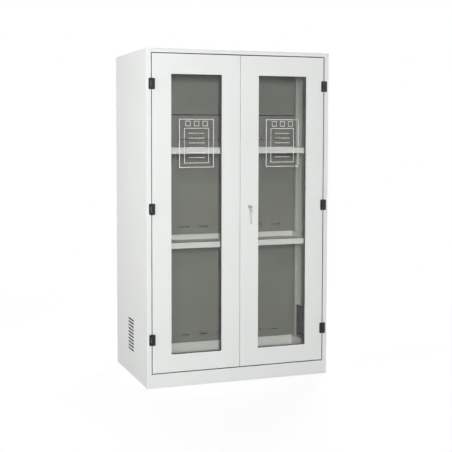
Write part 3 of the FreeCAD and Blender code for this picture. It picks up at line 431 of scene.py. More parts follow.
LENGTHWISE = (1.0, 1.0, 0.12)  # grain drawn out along the height
FINISHES = {
    Slot.BODY: PowderCoat("powder_coated_steel_light_grey", "#E4E6E4", "#E1E3E1"),
    Slot.INNER: PowderCoat("powder_coated_steel_pale_liner", "#E0E0DC", "#DCDCD8", 0.5),
    Slot.ZINC: PlatedMetal("bright_zinc_plated_steel", "#BFC3C6", "#A3A7A9", 0.36, LENGTHWISE, 3.0),
    Slot.HINGE: CastEnamel("black_stoving_enamel_on_zinc_casting", "#131513", "#1E201E"),
    Slot.DARK: PlatedMetal("black_oxide_screw_steel", "#3A3B3B", "#2B2C2C", 0.42, grain_mm=1.5),
    Slot.LOCK: PlatedMetal(
        "polished_nickel_chrome_on_brass", "#C8C9CA", "#B2B3B4", 0.16, grain_mm=1.2
    ),
    Slot.KEY: PlatedMetal(
        "nickel_plated_brass_key", "#D6D5D0", "#BFBEB8", 0.26, grain_mm=0.8, relief_mm=0.02
    ),
    Slot.GLASS: FloatGlass("clear_float_glass", "#FBFCFB", "#D9DEDC"),
    Slot.SEAL: CellRubber("black_cell_rubber", "#1D1E1E", "#2A2B2B"),
    Slot.FOOT: MouldedPlastic("black_moulded_nylon", "#1C1D1E", "#2E2F30"),
}
# the rear wall's grey is darker than the pale liner's and stands partly for painted shade deep in
# the cabinet
REAR_WALL_PAINTED_SHADE = PowderCoat("powder_coated_steel_stone_grey_liner", "#8B8B85", "#868680", 0.52)
UPRIGHTS = PowderCoat("powder_coated_steel_grey_uprights", "#B2B2AC", "#ACACA6", 0.52)
RING_STEEL = PlatedMetal("blued_spring_steel_ring", "#6A6A68", "#565654", 0.24, grain_mm=0.8)
LABEL_FILM = PrintedFilm("white_screen_printed_film", "#F4F5F3", "#E4E6E3")
# the glazing tape's dark grey is painted shade on the window reveals
GLAZING_TAPE_PAINTED_SHADE = CellRubber("grey_foam_glazing_tape", "#7C7D7A", "#747572")
# the vent mesh's near-black with almost no mirror is partly painted shade seen through the slots
SCREEN_WIRE_PAINTED_SHADE = CellRubber("black_flocked_etched_mesh", "#121313", "#1A1B1B", specular=0.05)
RIVET_METAL = PlatedMetal("drawn_aluminium_rivet", "#C9CBCC", "#B0B2B3", 0.34, grain_mm=1.0)
OWN_FINISHES = {  # nodes that don't take their slot's finish
    "baffle_lower": REAR_WALL_PAINTED_SHADE,
    "baffle_upper": REAR_WALL_PAINTED_SHADE,
    "standard_front_left": UPRIGHTS,
    "standard_front_right": UPRIGHTS,
    "standard_rear_left": UPRIGHTS,
    "standard_rear_right": UPRIGHTS,
    "key_ring": RING_STEEL,
    "lock_key": RING_STEEL,
}


# ---- mesh helpers

WELD = 1e-7  # points nearer than this are one
SOLID_WELD = 1e-6  # the same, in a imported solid's loose triangles
SOFT_EDGE, THIN_EDGE = 1 / 4, 1 / 3  # chamfers as a share of a strip's thickness


def mesh_of(maker: Maker, name: str) -> Mesh:
    """Turn a bmesh into a mesh with outward faces.

    Args:
        maker: the shape; it is freed.
        name: the mesh's name.

    Returns:
        The mesh.
    """
    bmesh.ops.remove_doubles(maker, verts=maker.verts, dist=WELD)
    bmesh.ops.recalc_face_normals(maker, faces=maker.faces)
    mesh = bpy.data.meshes.new(name)
    maker.to_mesh(mesh)
    maker.free()
    return mesh


def show(name: str, mesh: Mesh, finish: Material) -> Piece:
    """Link a finished mesh to the scene under a piece's name.

    Args:
        name: the piece's name.
        mesh: its shape, with its place in its points.
        finish: its material.

    Returns:
        The object, at the origin.
    """
    mesh.name = name
    mesh.materials.clear()
    mesh.materials.append(finish)
    piece = bpy.data.objects.new(name, mesh)
    bpy.context.scene.collection.objects.link(piece)
    return piece


def add_bar(maker: Maker, low: Vector, high: Vector, soft: float = 0.0) -> None:
    """Add a bar between two corners, with its edges chamfered or left sharp.

    Args:
        maker: the bmesh to add to.
        low: its lowest corner.
        high: its highest corner.
        soft: the chamfer.
    """
    made = bmesh.ops.create_cube(maker, size=1.0)["verts"]
    middle, size = (low + high) / 2, high - low
    for vertex in made:
        vertex.co = middle + Vector(vertex.co[axis] * size[axis] for axis in range(3))
    if soft:
        edges = {edge for vertex in made for edge in vertex.link_edges}
        bmesh.ops.bevel(maker, geom=list(edges), offset=soft, segments=1, affect="EDGES")


def upright(box: Box, depth: Depth) -> tuple[Vector, Vector]:
    """The lowest and highest corner of a bar, from its outline as seen from the front."""
    return Vector((box[0], depth[0], box[1])), Vector((box[2], depth[1], box[3]))


def grown(box: Box, by: float) -> Box:
    """The rectangle with a margin added on every side."""
    return box[0] - by, box[1] - by, box[2] + by, box[3] + by


def add_border(maker: Maker, box: Box, line: float, depth: Depth, soft: float) -> None:
    """Add four bars along the inside of an upright rectangle.

    Args:
        maker: the bmesh to add to.
        box: the rectangle.
        line: the bars' width.
        depth: where their front and back lie.
        soft: their chamfer.
    """
    left, low, right, high = box
    for bar in (
        (left, low, right, low + line),
        (left, high - line, right, high),
        (left, low + line, left + line, high - line),
        (right - line, low + line, right, high - line),
    ):
        add_bar(maker, *upright(bar, depth), soft)


def solid_boxes(shown: Piece) -> list[tuple[Vector, Vector]]:
    """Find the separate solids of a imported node.

    Args:
        shown: the node's object.

    Returns:
        The lowest and highest corner of each solid, lowest solid first.
    """
    probe = bmesh.new()
    probe.from_mesh(shown.data)
    bmesh.ops.remove_doubles(probe, verts=probe.verts, dist=SOLID_WELD)
    left = set(probe.verts)
    boxes = []
    while left:
        front, seen = [left.pop()], []
        while front:
            vertex = front.pop()
            seen.append(vertex.co.copy())
            fresh = {edge.other_vert(vertex) for edge in vertex.link_edges} & left
            left -= fresh
            front.extend(fresh)
        low, high = (
            Vector(choose(point[axis] for point in seen) for axis in range(3))
            for choose in (min, max)
        )
        boxes.append((low, high))
    probe.free()
    return sorted(boxes, key=lambda box: (round(box[0].z, 4), round(box[0].x, 4)))


@dataclass(frozen=True)
class TurnedHead:
    """A turned head: a profile spun round the way it faces, with a lobed recess or none."""

    facing: Vector
    profile: tuple[tuple[float, float], ...]  # radius and height in mm, from the rim inwards
    recess_from: int = 99  # profile points from this one on follow the lobes
    lobes: int = 6
    lobe_depth: float = 0.16
    segments: int = 24

    def mesh(self, name: str) -> Mesh:
        """Spin the profile.

        Args:
            name: the mesh's name.

        Returns:
            The head at the origin.
        """
        maker = bmesh.new()
        turn = UPWARD.rotation_difference(self.facing).to_matrix()
        rings = []
        for number, (radius, height) in enumerate(self.profile):
            depth = self.lobe_depth if number >= self.recess_from else 0.0
            ring = []
            for step in range(self.segments):
                angle = math.tau * step / self.segments
                lobed = 1 + depth * math.cos(self.lobes * angle)
                flat = Vector((math.cos(angle), math.sin(angle), 0)) * radius * lobed
                ring.append(maker.verts.new(turn @ ((flat + Vector((0, 0, height))) * MM)))
            rings.append(ring)
        for outer, inner in zip(rings, rings[1:]):
            for step in range(self.segments):
                after = (step + 1) % self.segments
                maker.faces.new((outer[step], outer[after], inner[after], inner[step]))
        maker.faces.new(rings[0])
        maker.faces.new(rings[-1])
        return mesh_of(maker, name)


LENS_RIM = ((2.2, -1.0), (4.6, -0.4), (4.6, 0.2), (4.1, 0.9), (2.6, 1.35))
LENS_SCREW = TurnedHead(UPWARD, (*LENS_RIM, (1.5, 1.45), (1.4, 0.5), (0.5, 0.4)), recess_from=5)
FLUSH_SCREW = TurnedHead(
    FORWARD,
    ((3.6, -0.6), (3.9, 0.0), (3.8, 0.06), (2.0, 0.06), (1.7, -0.9), (0.6, -1.0)),
    recess_from=3,
)
BLIND_RIVET = TurnedHead(
    BACKWARD,
    ((3.0, -0.4), (3.2, 0.1), (2.9, 0.6), (2.0, 0.95), (1.1, 1.0), (0.95, 0.35), (0.6, 0.3)),
    segments=16,
)


# ---- geometry nodes


class RepeatTree:
    """A node tree with named inputs that repeats an item and ends in a plain mesh."""

    def __init__(self, name: str, inputs: dict[str, str]) -> None:
        """Start the tree.

        Args:
            name: the tree's name.
            inputs: each input's name and the kind of its socket.
        """
        self.tree = bpy.data.node_groups.new(name, "GeometryNodeTree")
        face = self.tree.interface
        face.new_socket("Geometry", in_out="OUTPUT", socket_type="NodeSocketGeometry")
        for label, kind in inputs.items():
            face.new_socket(label, in_out="INPUT", socket_type=f"NodeSocket{kind}")
        self.given = self.add("NodeGroupInput").outputs

    def add(self, kind: str, inputs: dict | None = None, **settings: object) -> Node:
        """Add a node to the tree."""
        return add_node(self.tree, kind, inputs, **settings)

    def close(self, placed: dict) -> None:
        """Set the item on points, make it real and dress it.

        Args:
            placed: the points, and the item's turn where it has one.
        """
        item = self.add("GeometryNodeObjectInfo", {"Object": self.given["Item"]})
        placed |= {"Instance": item.outputs["Geometry"]}
        items = self.add("GeometryNodeInstanceOnPoints", placed).outputs[0]
        real = self.add("GeometryNodeRealizeInstances", {0: items}).outputs[0]
        dress = {"Geometry": real, "Material": self.given["Finish"]}
        dressed = self.add("GeometryNodeSetMaterial", dress).outputs[0]
        self.add("NodeGroupOutput", {0: dressed})

    def bake(self, name: str, base: Mesh, item: Mesh, values: dict) -> Piece:
        """Run the tree and keep only the mesh that it makes.

        Args:
            name: the piece's name.
            base: the mesh that the tree starts from.
            item: the mesh that it repeats.
            values: the other inputs' values, the finish among them.

        Returns:
            The finished piece, at the origin, with no modifier.
        """
        carrier = bpy.data.objects.new(base.name, base)
        bpy.context.scene.collection.objects.link(carrier)
        repeated = bpy.data.objects.new(item.name, item)
        modifier = carrier.modifiers.new("build", "NODES")
        modifier.node_group = self.tree
        inputs = [face for face in self.tree.interface.items_tree if face.in_out == "INPUT"]
        sockets = {face.name: face.identifier for face in inputs}
        for label, value in {"Item": repeated, **values}.items():
            modifier[sockets[label]] = value
        carrier.update_tag()
        graph = bpy.context.evaluated_depsgraph_get()
        mesh = bpy.data.meshes.new_from_object(carrier.evaluated_get(graph), depsgraph=graph)
        carrier.modifiers.remove(modifier)
        bpy.data.objects.remove(carrier)
        bpy.data.objects.remove(repeated)
        return show(name, mesh, values["Finish"])


class Scatter(RepeatTree):
    """Sets one head on every vertex of a mesh, each turned by chance."""

    SEED = 7

    def __init__(self) -> None:
        """Build the tree with its named inputs."""
        kinds = {"Item": "Object", "Spin Axis": "Vector", "Finish": "Material"}
        super().__init__("heads_on_points", {"Points": "Geometry", **kinds})
        chance = {0: (0.0, 0.0, 0.0), 1: (math.tau, math.tau, math.tau), "Seed": self.SEED}
        drawn = self.add("FunctionNodeRandomValue", chance, data_type="FLOAT_VECTOR").outputs[0]
        turn = {0: drawn, 1: self.given["Spin Axis"]}
        spun = self.add("ShaderNodeVectorMath", turn, operation="MULTIPLY").outputs[0]
        self.close({"Points": self.given["Points"], "Rotation": spun})

    def run(self, name: str, points: list[Vector], head: TurnedHead, finish: Material) -> Piece:
        """Set the heads.

        Args:
            name: the piece's name.
            points: where the heads sit.
            head: the head's shape.
            finish: their material.

        Returns:
            The finished piece.
        """
        base = bpy.data.meshes.new(name + "_points")
        base.from_pydata([tuple(point) for point in points], [], [])
        values = {"Spin Axis": tuple(abs(part) for part in head.facing), "Finish": finish}
        return self.bake(name, base, head.mesh(name + "_head"), values)


class Rank(RepeatTree):
    """Repeats one item in a straight row."""

    def __init__(self) -> None:
        """Build the tree with its named inputs."""
        kinds = {"Item": "Object", "Count": "Int", "Step": "Vector", "Finish": "Material"}
        super().__init__("items_in_a_row", kinds)
        row = {"Count": self.given["Count"], "Offset": self.given["Step"]}
        line = self.add("GeometryNodeMeshLine", row, mode="OFFSET").outputs[0]
        self.close({"Points": line})

    def run(
        self, name: str, first: tuple[Vector, Vector], count: int, step: Vector, finish: Material
    ) -> Piece:
        """Repeat a square bar.

        Args:
            name: the piece's name.
            first: the first bar's lowest and highest corner.
            count: how many bars there are.
            step: from one bar to the next.
            finish: their material.

        Returns:
            The finished piece.
        """
        maker = bmesh.new()
        add_bar(maker, *first)
        values = {"Count": count, "Step": tuple(step), "Finish": finish}
        base = bpy.data.meshes.new(name + "_row")
        return self.bake(name, base, mesh_of(maker, name + "_bar"), values)


# ---- sub-assemblies


class Side(StrEnum):
    """The left or the right half of the cabinet, as seen from the front."""

    LEFT = "left"
    RIGHT = "right"


class Edge(Enum):
    """An edge of an upright rectangle."""

    LEFT = "left"
    RIGHT = "right"
    LOW = "low"
    HIGH = "high"


@dataclass
class Finishes:
    """The materials, made once and shared."""

    made: dict[object, Material] = field(default_factory=dict)

    def of(self, finish: object) -> Material:
        """Look up a material and make it when it is first asked for.

        Args:
            finish: a finish or a record slot.

        Returns:
            The material.
        """
        source = FINISHES[finish] if isinstance(finish, Slot) else finish
        if source not in self.made:
            self.made[source] = source.material()
        return self.made[source]


@dataclass
class PackedSolids:
    """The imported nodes: each keeps its shape and gets its finish."""

    finishes: Finishes

    def dress(self, frame: dict) -> None:
        """Give every node the finish of its slot, or its own where it has one.

        Args:
            frame: what the frame's load returned.
        """
        slots = {part["node"]: Slot(part["material_slot"]) for part in frame["record"]["subparts"]}
        for node, shown in frame["nodes"].items():
            material = self.finishes.of(OWN_FINISHES.get(node, slots[node]))
            if not shown.material_slots:
                shown.data.materials.append(None)
            for slot in shown.material_slots:
                slot.link = "OBJECT"
                slot.material = material
            LOG.info("%s: %s", node, material.name)


@dataclass
class PaneLabel:
    """A blank white label printed on a door's pane: two outlines, tick boxes and writing lines."""

    side: Side
    finishes: Finishes
    rank: Rank
    outer_width: float = 0.210
    outer_low: float = 1.273
    outer_high: float = 1.552
    outer_line: float = 0.0032
    inner_width: float = 0.150
    inner_low: float = 1.298
    inner_high: float = 1.500
    inner_line: float = 0.0026
    film: float = 0.00015
    film_sunk: float = 0.000075
    box_size: float = 0.030
    box_gap: float = 0.052
    box_line: float = 0.0024
    writing_lines: int = 6
    writing_pitch: float = 0.028
    writing_width: float = 0.096
    writing_line: float = 0.0024

    def outlines(self, middle: float) -> list[tuple[Box, float]]:
        """Lay out the two frames and the three tick boxes.

        Args:
            middle: the pane's middle across.

        Returns:
            Each rectangle and its line's width.
        """
        outer, inner = self.outer_width / 2, self.inner_width / 2
        boxes = [
            ((middle - outer, self.outer_low, middle + outer, self.outer_high), self.outer_line),
            ((middle - inner, self.inner_low, middle + inner, self.inner_high), self.inner_line),
        ]
        low = (self.inner_high + self.outer_high - self.box_size) / 2
        for step in (-1, 0, 1):
            left = middle + step * self.box_gap - self.box_size / 2
            box = (left, low, left + self.box_size, low + self.box_size)
            boxes.append((box, self.box_line))
        return boxes

    def build(self) -> None:
        """Print the label on the pane's front face and let it ride on the door."""
        low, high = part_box(f"{self.side}_glass")
        middle = (low.x + high.x) / 2
        depth = (low.y - self.film, low.y + self.film_sunk)
        maker = bmesh.new()
        for box, line in self.outlines(middle):
            add_border(maker, box, line, depth, self.film * SOFT_EDGE)
        film = self.finishes.of(LABEL_FILM)
        name = f"{self.side}_pane_label"
        label = show(name, mesh_of(maker, name), film)
        half = self.writing_width / 2
        room = self.inner_high - self.inner_low - (self.writing_lines - 1) * self.writing_pitch
        lowest = self.inner_low + room / 2
        first = (middle - half, lowest, middle + half, lowest + self.writing_line)
        step = UPWARD * self.writing_pitch
        lines = self.rank.run(
            f"{name}_lines", upright(first, depth), self.writing_lines, step, film
        )
        for piece in (label, lines):
            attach(piece, f"{self.side}_door")
            LOG.info("%s", piece.name)


@dataclass
class GlazingTape:
    """Grey foam tape round the window's lining, between the pane and the back of a door; its dark
    grey is painted shade on the window's reveals.
    """

    side: Side
    finishes: Finishes
    side_rail: float = 0.114
    bottom_rail: float = 0.103
    top_rail: float = 0.115
    reveal: float = 0.002
    thick: float = 0.0005
    front: float = 0.0087
    back: float = 0.0298

    def build(self) -> None:
        """Lay four strips on the lining's inner faces."""
        low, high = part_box(f"{self.side}_door_shell")
        lining = (
            low.x + self.side_rail - self.reveal,
            low.z + self.bottom_rail - self.reveal,
            high.x - self.side_rail + self.reveal,
            high.z - self.top_rail + self.reveal,
        )
        depth = (low.y + self.front, low.y + self.back)
        maker = bmesh.new()
        add_border(maker, lining, self.thick, depth, self.thick * SOFT_EDGE)
        name = f"{self.side}_window_tape"
        tape = show(name, mesh_of(maker, name), self.finishes.of(GLAZING_TAPE_PAINTED_SHADE))
        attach(tape, f"{self.side}_door")
        LOG.info("%s", tape.name)


@dataclass
class VentScreen:
    """Etched black mesh behind a side panel's vent slots: two ranks of flat wires. Its near-black,
    unreflecting finish is partly painted shade that darkens the slots.
    """

    side: Side
    finishes: Finishes
    rank: Rank
    wall: float = 0.0015
    front: float = -0.064
    back: float = 0.078
    low: float = 0.146
    high: float = 0.354
    pitch: float = 0.0015
    wire: float = 0.0009
    thick: float = 0.00012

    def build(self) -> None:
        """Lay the upright and the level wires against the panel's inner face."""
        low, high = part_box(f"{self.side}_side_panel")
        inner = low.x + self.wall if self.side is Side.LEFT else high.x - self.wall - self.thick
        start = Vector((inner, self.front, self.low))
        upright_end = start + Vector((self.thick, self.wire, self.high - self.low))
        level_end = start + Vector((self.thick, self.back - self.front, self.wire))
        columns = round((self.back - self.front) / self.pitch)
        rows = round((self.high - self.low) / self.pitch)
        black = self.finishes.of(SCREEN_WIRE_PAINTED_SHADE)
        for way, end, count, step in (
            ("uprights", upright_end, columns, BACKWARD * self.pitch),
            ("levels", level_end, rows, UPWARD * self.pitch),
        ):
            name = f"{self.side}_vent_screen_{way}"
            wires = self.rank.run(name, (start, end), count, step, black)
            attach(wires, "cabinet")
            LOG.info("%s: %d wires", name, count)


@dataclass
class GapTrim:
    """Thin black strips in the gap round the doors: painted shade that darkens the gap lines."""

    finishes: Finishes
    gap: float = 0.003
    thick: float = 0.0004
    front: float = 0.0022
    back: float = 0.0130
    inset: float = 0.0025
    lip_wide: float = 0.0020
    lip_proud: float = 0.00025
    lip_sunk: float = 0.00005
    face: float = field(init=False)  # where the doors' front faces lie

    def ring(self, name: str, body: str, box: Box, edges: tuple[Edge, ...]) -> None:
        """Lay strips outside a rectangle, on the edges asked for.

        Args:
            name: the piece's name.
            body: the body that it rides on.
            box: the rectangle that the strips lie against.
            edges: the edges that get a strip.
        """
        left, low, right, high = box
        grow, inset = self.thick, self.inset
        strips = {
            Edge.LEFT: (left - grow, low + inset, left, high - inset),
            Edge.RIGHT: (right, low + inset, right + grow, high - inset),
            Edge.LOW: (left + inset, low - grow, right - inset, low),
            Edge.HIGH: (left + inset, high, right - inset, high + grow),
        }
        depth = (self.face + self.front, self.face + self.back)
        maker = bmesh.new()
        for edge in edges:
            add_bar(maker, *upright(strips[edge], depth), grow * SOFT_EDGE)
        # the black strips are painted shade in the gap round the doors
        trim = show(name, mesh_of(maker, name), self.finishes.of(Slot.SEAL))
        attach(trim, body)
        LOG.info("%s", name)

    def lip(self, box: Box) -> None:
        """Lay the strip's thin black lip on the frame's face, all round the opening, as painted
        shade that widens the gap line.

        Args:
            box: the opening.
        """
        wide = self.lip_wide
        depth = (self.face - self.lip_proud, self.face + self.lip_sunk)
        maker = bmesh.new()
        add_border(maker, grown(box, wide), wide, depth, self.lip_proud * THIN_EDGE)
        name = "opening_face_lip"
        lip = show(name, mesh_of(maker, name), self.finishes.of(Slot.SEAL))
        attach(lip, "cabinet")
        LOG.info("%s", name)

    def build(self) -> None:
        """A ring on each door's outer edges, and one with a lip in the opening."""
        boxes = {side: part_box(f"{side}_door_shell") for side in Side}
        self.face = boxes[Side.LEFT][0].y
        for side, outer in ((Side.LEFT, Edge.LEFT), (Side.RIGHT, Edge.RIGHT)):
            low, high = boxes[side]
            door = (low.x, low.z, high.x, high.z)
            edges = (outer, Edge.LOW, Edge.HIGH)
            self.ring(f"{side}_door_edge_trim", f"{side}_door", door, edges)
        low, high = boxes[Side.LEFT][0], boxes[Side.RIGHT][1]
        doors = (low.x, low.z, high.x, high.z)
        opening = grown(doors, self.gap - self.thick)
        self.ring("opening_edge_trim", "cabinet", opening, tuple(Edge))
        self.lip(grown(doors, self.gap))


@dataclass
class RearJoint:
    """A dark strip in the level joint between the rear wall's two sheets, partly painted shade
    along the joint.
    """

    finishes: Finishes
    tall: float = 0.005
    inset: float = 0.005
    proud: float = 0.0008
    sunk: float = 0.0002

    def build(self) -> None:
        """Lay the strip over the joint on the wall's front face."""
        low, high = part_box("baffle_lower")
        half = self.tall / 2
        strip = (low.x + self.inset, high.z - half, high.x - self.inset, high.z + half)
        depth = (low.y - self.proud, low.y + self.sunk)
        maker = bmesh.new()
        add_bar(maker, *upright(strip, depth), self.proud * THIN_EDGE)
        name = "rear_wall_joint_strip"
        # the dark strip is partly painted shade along the rear wall's joint
        joint = show(name, mesh_of(maker, name), self.finishes.of(Slot.SEAL))
        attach(joint, "cabinet")
        LOG.info("%s", name)


@dataclass
class Fasteners:
    """Heads that the solids leave plain: hinge screws, back rivets and collar screws."""

    finishes: Finishes
    scatter: Scatter
    rivet_pitch: float = 0.155
    rivet_edge: float = 0.010
    collar_screws: int = 6
    collar_ring: float = 0.0605
    flange: float = 0.0012

    def hinge_screws(self, nodes: dict[str, Piece]) -> None:
        """A flush lobed head on the front of every hinge screw.

        Args:
            nodes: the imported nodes' objects by name.
        """
        for node, body in (
            ("hinge_frame_screws", "cabinet"),
            ("left_hinge_door_screws", "left_door"),
            ("right_hinge_door_screws", "right_door"),
        ):
            points = [
                Vector(((low.x + high.x) / 2, low.y, (low.z + high.z) / 2))
                for low, high in solid_boxes(nodes[node])
            ]
            self.place(f"{node}_heads", points, FLUSH_SCREW, Slot.DARK, body)

    def back_rivets(self) -> None:
        """Blind rivets along all four edges of the outer back panel."""
        low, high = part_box("back_panel")
        left, right = low.x + self.rivet_edge, high.x - self.rivet_edge
        bottom, top = low.z + self.rivet_edge, high.z - self.rivet_edge
        rows = round((top - bottom) / self.rivet_pitch)
        columns = round((right - left) / self.rivet_pitch)
        points = [
            Vector((x, high.y, bottom + (top - bottom) * step / rows))
            for x in (left, right)
            for step in range(rows + 1)
        ]
        points += [
            Vector((left + (right - left) * step / columns, high.y, z))
            for z in (bottom, top)
            for step in range(1, columns)
        ]
        self.place("back_panel_rivets", points, BLIND_RIVET, RIVET_METAL, "cabinet")

    def collar_heads(self) -> None:
        """Lens-head screws round the exhaust collar's flange."""
        low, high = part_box("exhaust_spigot")
        roof_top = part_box("roof_panel")[1].z
        middle = (low + high) / 2
        points = []
        for step in range(self.collar_screws):
            angle = math.tau * (step + 0.5) / self.collar_screws
            reach = Vector((math.cos(angle), math.sin(angle), 0)) * self.collar_ring
            points.append(Vector((middle.x, middle.y, roof_top + self.flange)) + reach)
        self.place("exhaust_collar_screws", points, LENS_SCREW, Slot.ZINC, "cabinet")

    def place(
        self, name: str, points: list[Vector], head: TurnedHead, finish: object, body: str
    ) -> None:
        """Set one kind of head and let it ride on its body.

        Args:
            name: the piece's name.
            points: where the heads sit.
            head: the head's shape.
            finish: a finish or a record slot.
            body: the body that it rides on.
        """
        piece = self.scatter.run(name, points, head, self.finishes.of(finish))
        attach(piece, body)
        LOG.info("%s: %d heads", name, len(points))


@dataclass
class FootGrips:
    """Grip ribs round the pads of the four levelling feet."""

    finishes: Finishes
    ribs: int = 30
    rib_width: float = 0.0016
    rib_proud: float = 0.0006
    rib_low: float = 0.0012
    rib_high: float = 0.0062

    def build(self) -> None:
        """One piece for all four feet."""
        maker = bmesh.new()
        for end in ("front", "rear"):
            for side in Side:
                low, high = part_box(f"foot_{end}_{side}")
                middle, radius = (low + high) / 2, (high.x - low.x) / 2
                for step in range(self.ribs):
                    angle = math.tau * step / self.ribs
                    along = Vector((math.cos(angle), math.sin(angle), 0))
                    self.rib(maker, Vector((middle.x, middle.y, 0)), along, radius)
        name = "foot_grip_ribs"
        grips = show(name, mesh_of(maker, name), self.finishes.of(Slot.FOOT))
        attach(grips, "cabinet")
        LOG.info("%s", name)

    def rib(self, maker: Maker, middle: Vector, along: Vector, radius: float) -> None:
        """Add one wedge-shaped rib that stands out of the pad's rim.

        Args:
            maker: the bmesh to add to.
            middle: the pad's middle on the floor.
            along: from the middle to the rib, one metre long.
            radius: the pad's radius.
        """
        across = Vector((-along.y, along.x, 0)) * (self.rib_width / 2)
        inner, outer = along * (radius - self.rib_proud), along * (radius + self.rib_proud)
        rim = (inner - across, outer - across / 2, outer + across / 2, inner + across)
        lower, upper = (
            [maker.verts.new(middle + UPWARD * height + point) for point in rim]
            for height in (self.rib_low, self.rib_high)
        )
        maker.faces.new(lower)
        maker.faces.new(upper)
        for step in range(len(rim)):
            after = (step + 1) % len(rim)
            maker.faces.new((lower[step], lower[after], upper[after], upper[step]))


# ---- the studio


@dataclass(frozen=True)
class SoftLamp:
    """A rectangular studio lamp that faces a target."""

    name: str
    place: tuple[float, float, float]
    target: tuple[float, float, float]
    wide: float
    tall: float
    power: float
    mirrored: bool = True

    def build(self) -> None:
        """Hang the lamp, turned to its target; one that isn't mirrored leaves no glare."""
        light = bpy.data.lights.new(self.name, "AREA")
        light.shape = "RECTANGLE"
        light.size, light.size_y = self.wide, self.tall
        light.energy = self.power
        place = Vector(self.place)
        lamp = aim(self.name, light, place, Vector(self.target) - place)
        lamp.visible_glossy = self.mirrored


def aim(name: str, light: bpy.types.Light, place: Vector, way: Vector) -> bpy.types.Object:
    """Put a lamp at a place and turn it along a direction.

    Args:
        name: the lamp's name.
        light: its light.
        place: where it hangs.
        way: the direction that it shines in.

    Returns:
        The lamp.
    """
    lamp = bpy.data.objects.new(name, light)
    lamp.location = place
    lamp.rotation_euler = way.to_track_quat("-Z", "Y").to_euler()
    bpy.context.scene.collection.objects.link(lamp)
    return lamp


LAMPS = (
    SoftLamp("tall_strip", (-2.32, -6.71, 1.8), (0.2, 0.0, 1.2), 0.2, 0.8, 290.0),
    SoftLamp("side_panel_lamp", (-3.2, -0.9, 2.0), (-0.57, 0.0, 1.1), 1.6, 1.6, 53.0),
    SoftLamp("high_lamp", (0.0, -2.6, 3.3), (0.0, 0.0, 1.2), 2.4, 0.8, 6.0),
    SoftLamp("back_lamp", (2.6, 3.2, 4.0), (0.0, 0.2, 1.2), 2.0, 2.0, 185.0, mirrored=False),
)


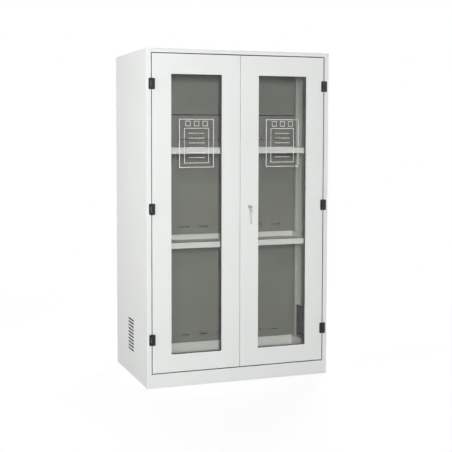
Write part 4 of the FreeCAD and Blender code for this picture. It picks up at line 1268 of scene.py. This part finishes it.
@dataclass
class Studio:
    """A white floor, an even pale sky, a low sun and four soft lamps."""

    floor_half: float = 20.0
    floor_bounce: str = "#B4B4B4"
    floor_grey: str = "#8C8C8C"
    floor_lift: float = 0.79
    floor_near: float = 1.3
    floor_far: float = 3.2
    seen_white: float = 1.0
    sky: float = 0.14
    sun_strength: float = 0.21
    sun_height_deg: float = 22.7
    sun_side_deg: float = 24.0
    sun_softness_deg: float = 2.0
    sun_place: tuple[float, float, float] = (0.0, 0.0, 5.0)

    def backdrop_share(self, tree: Tree) -> Socket:
        """Tell the rays that see the backdrop from those that carry its light.

        Args:
            tree: the tree to add the nodes to.

        Returns:
            1 for rays from the camera, a mirror or glass, else 0.
        """
        path = add_node(tree, "ShaderNodeLightPath").outputs
        first = {0: path["Is Camera Ray"], 1: path["Is Glossy Ray"]}
        pair = add_node(tree, "ShaderNodeMath", first, operation="MAXIMUM").outputs[0]
        both = {0: pair, 1: path["Is Transmission Ray"]}
        return add_node(tree, "ShaderNodeMath", both, operation="MAXIMUM").outputs[0]

    def world(self) -> None:
        """White where it is seen, an even sky where it lights."""
        world = bpy.data.worlds.new("studio_sky")
        world.use_nodes = True
        tree = world.node_tree
        tree.nodes.clear()
        lit, seen = (
            add_node(tree, "ShaderNodeBackground", {"Color": WHITE, "Strength": strength})
            for strength in (self.sky, self.seen_white)
        )
        mixed = {0: self.backdrop_share(tree), 1: lit.outputs[0], 2: seen.outputs[0]}
        both = add_node(tree, "ShaderNodeMixShader", mixed).outputs[0]
        add_node(tree, "ShaderNodeOutputWorld", {"Surface": both})
        bpy.context.scene.world = world

    def floor(self) -> None:
        """A plain white floor that keeps a soft contact shadow near the cabinet."""
        name = "studio_floor"
        canvas = Canvas(name)
        bounce, shaded = (
            canvas.add("ShaderNodeBsdfDiffuse", {"Color": linear(colour)}).outputs[0]
            for colour in (self.floor_bounce, self.floor_grey)
        )
        glow, far = (
            canvas.add("ShaderNodeEmission", {"Strength": strength}).outputs[0]
            for strength in (self.floor_lift, self.seen_white)
        )
        near = canvas.add("ShaderNodeAddShader", {0: shaded, 1: glow}).outputs[0]
        reach = canvas.add("ShaderNodeVectorMath", {0: canvas.place}, operation="LENGTH")
        span = {"From Min": self.floor_near, "From Max": self.floor_far}
        span |= {"Value": reach.outputs["Value"]}
        fade = canvas.add("ShaderNodeMapRange", span, clamp=True).outputs["Result"]
        seen = canvas.layers(fade, near, far)
        material = canvas.finish(canvas.layers(self.backdrop_share(canvas.tree), bounce, seen))
        maker = bmesh.new()
        half = self.floor_half
        corners = ((-half, -half), (half, -half), (half, half), (-half, half))
        maker.faces.new([maker.verts.new((x, y, 0)) for x, y in corners])
        ground = show(name, mesh_of(maker, name), material)

    def lamps(self) -> None:
        """A low sun for the shelves' shadows and four soft lamps round the cabinet."""
        sun = bpy.data.lights.new("low_sun", "SUN")
        sun.energy = self.sun_strength
        sun.angle = math.radians(self.sun_softness_deg)
        height, side = math.radians(self.sun_height_deg), math.radians(self.sun_side_deg)
        level = math.cos(height)
        way = Vector((level * math.sin(side), level * math.cos(side), -math.sin(height)))
        aim("low_sun", sun, Vector(self.sun_place), way)
        for lamp in LAMPS:
            lamp.build()

    def build(self) -> None:
        """Make the sky, the floor and the lamps."""
        self.world()
        self.floor()
        self.lamps()
        LOG.info("studio")


@dataclass
class Viewpoint:
    """The camera: a long lens, at three quarters of the height, to the left of the doors."""

    place: tuple[float, float, float] = (-2.0086, -5.4154, 1.4588)
    yaw_deg: float = 18.913
    down_deg: float = 3.366
    lens_mm: float = 74.0
    sensor_mm: float = 36.0
    shift_x: float = 0.066
    shift_y: float = -0.08

    def build(self) -> None:
        """Make the camera and set it as the scene's own."""
        data = bpy.data.cameras.new("camera")
        data.lens, data.sensor_width = self.lens_mm, self.sensor_mm
        data.shift_x, data.shift_y = self.shift_x, self.shift_y
        camera = bpy.data.objects.new("camera", data)
        camera.location = self.place
        pitch, yaw = math.radians(90 - self.down_deg), math.radians(-self.yaw_deg)
        camera.rotation_euler = Euler((pitch, 0, yaw))
        bpy.context.scene.collection.objects.link(camera)
        bpy.context.scene.camera = camera
        LOG.info("camera")


def main() -> None:
    """Set up camera and studio, dress the solids and add the trim."""
    logging.basicConfig(level=logging.INFO, format="%(message)s")
    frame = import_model()
    bpy.context.scene.view_settings.view_transform = "Standard"
    Viewpoint().build()
    Studio().build()
    finishes = Finishes()
    PackedSolids(finishes).dress(frame)
    rank = Rank()
    for side in Side:
        PaneLabel(side, finishes, rank).build()
        VentScreen(side, finishes, rank).build()
        GlazingTape(side, finishes).build()
    GapTrim(finishes).build()
    RearJoint(finishes).build()
    fasteners = Fasteners(finishes, Scatter())
    fasteners.hinge_screws(frame["nodes"])
    fasteners.back_rivets()
    fasteners.collar_heads()
    FootGrips(finishes).build()


if __name__ == "__main__":
    main()
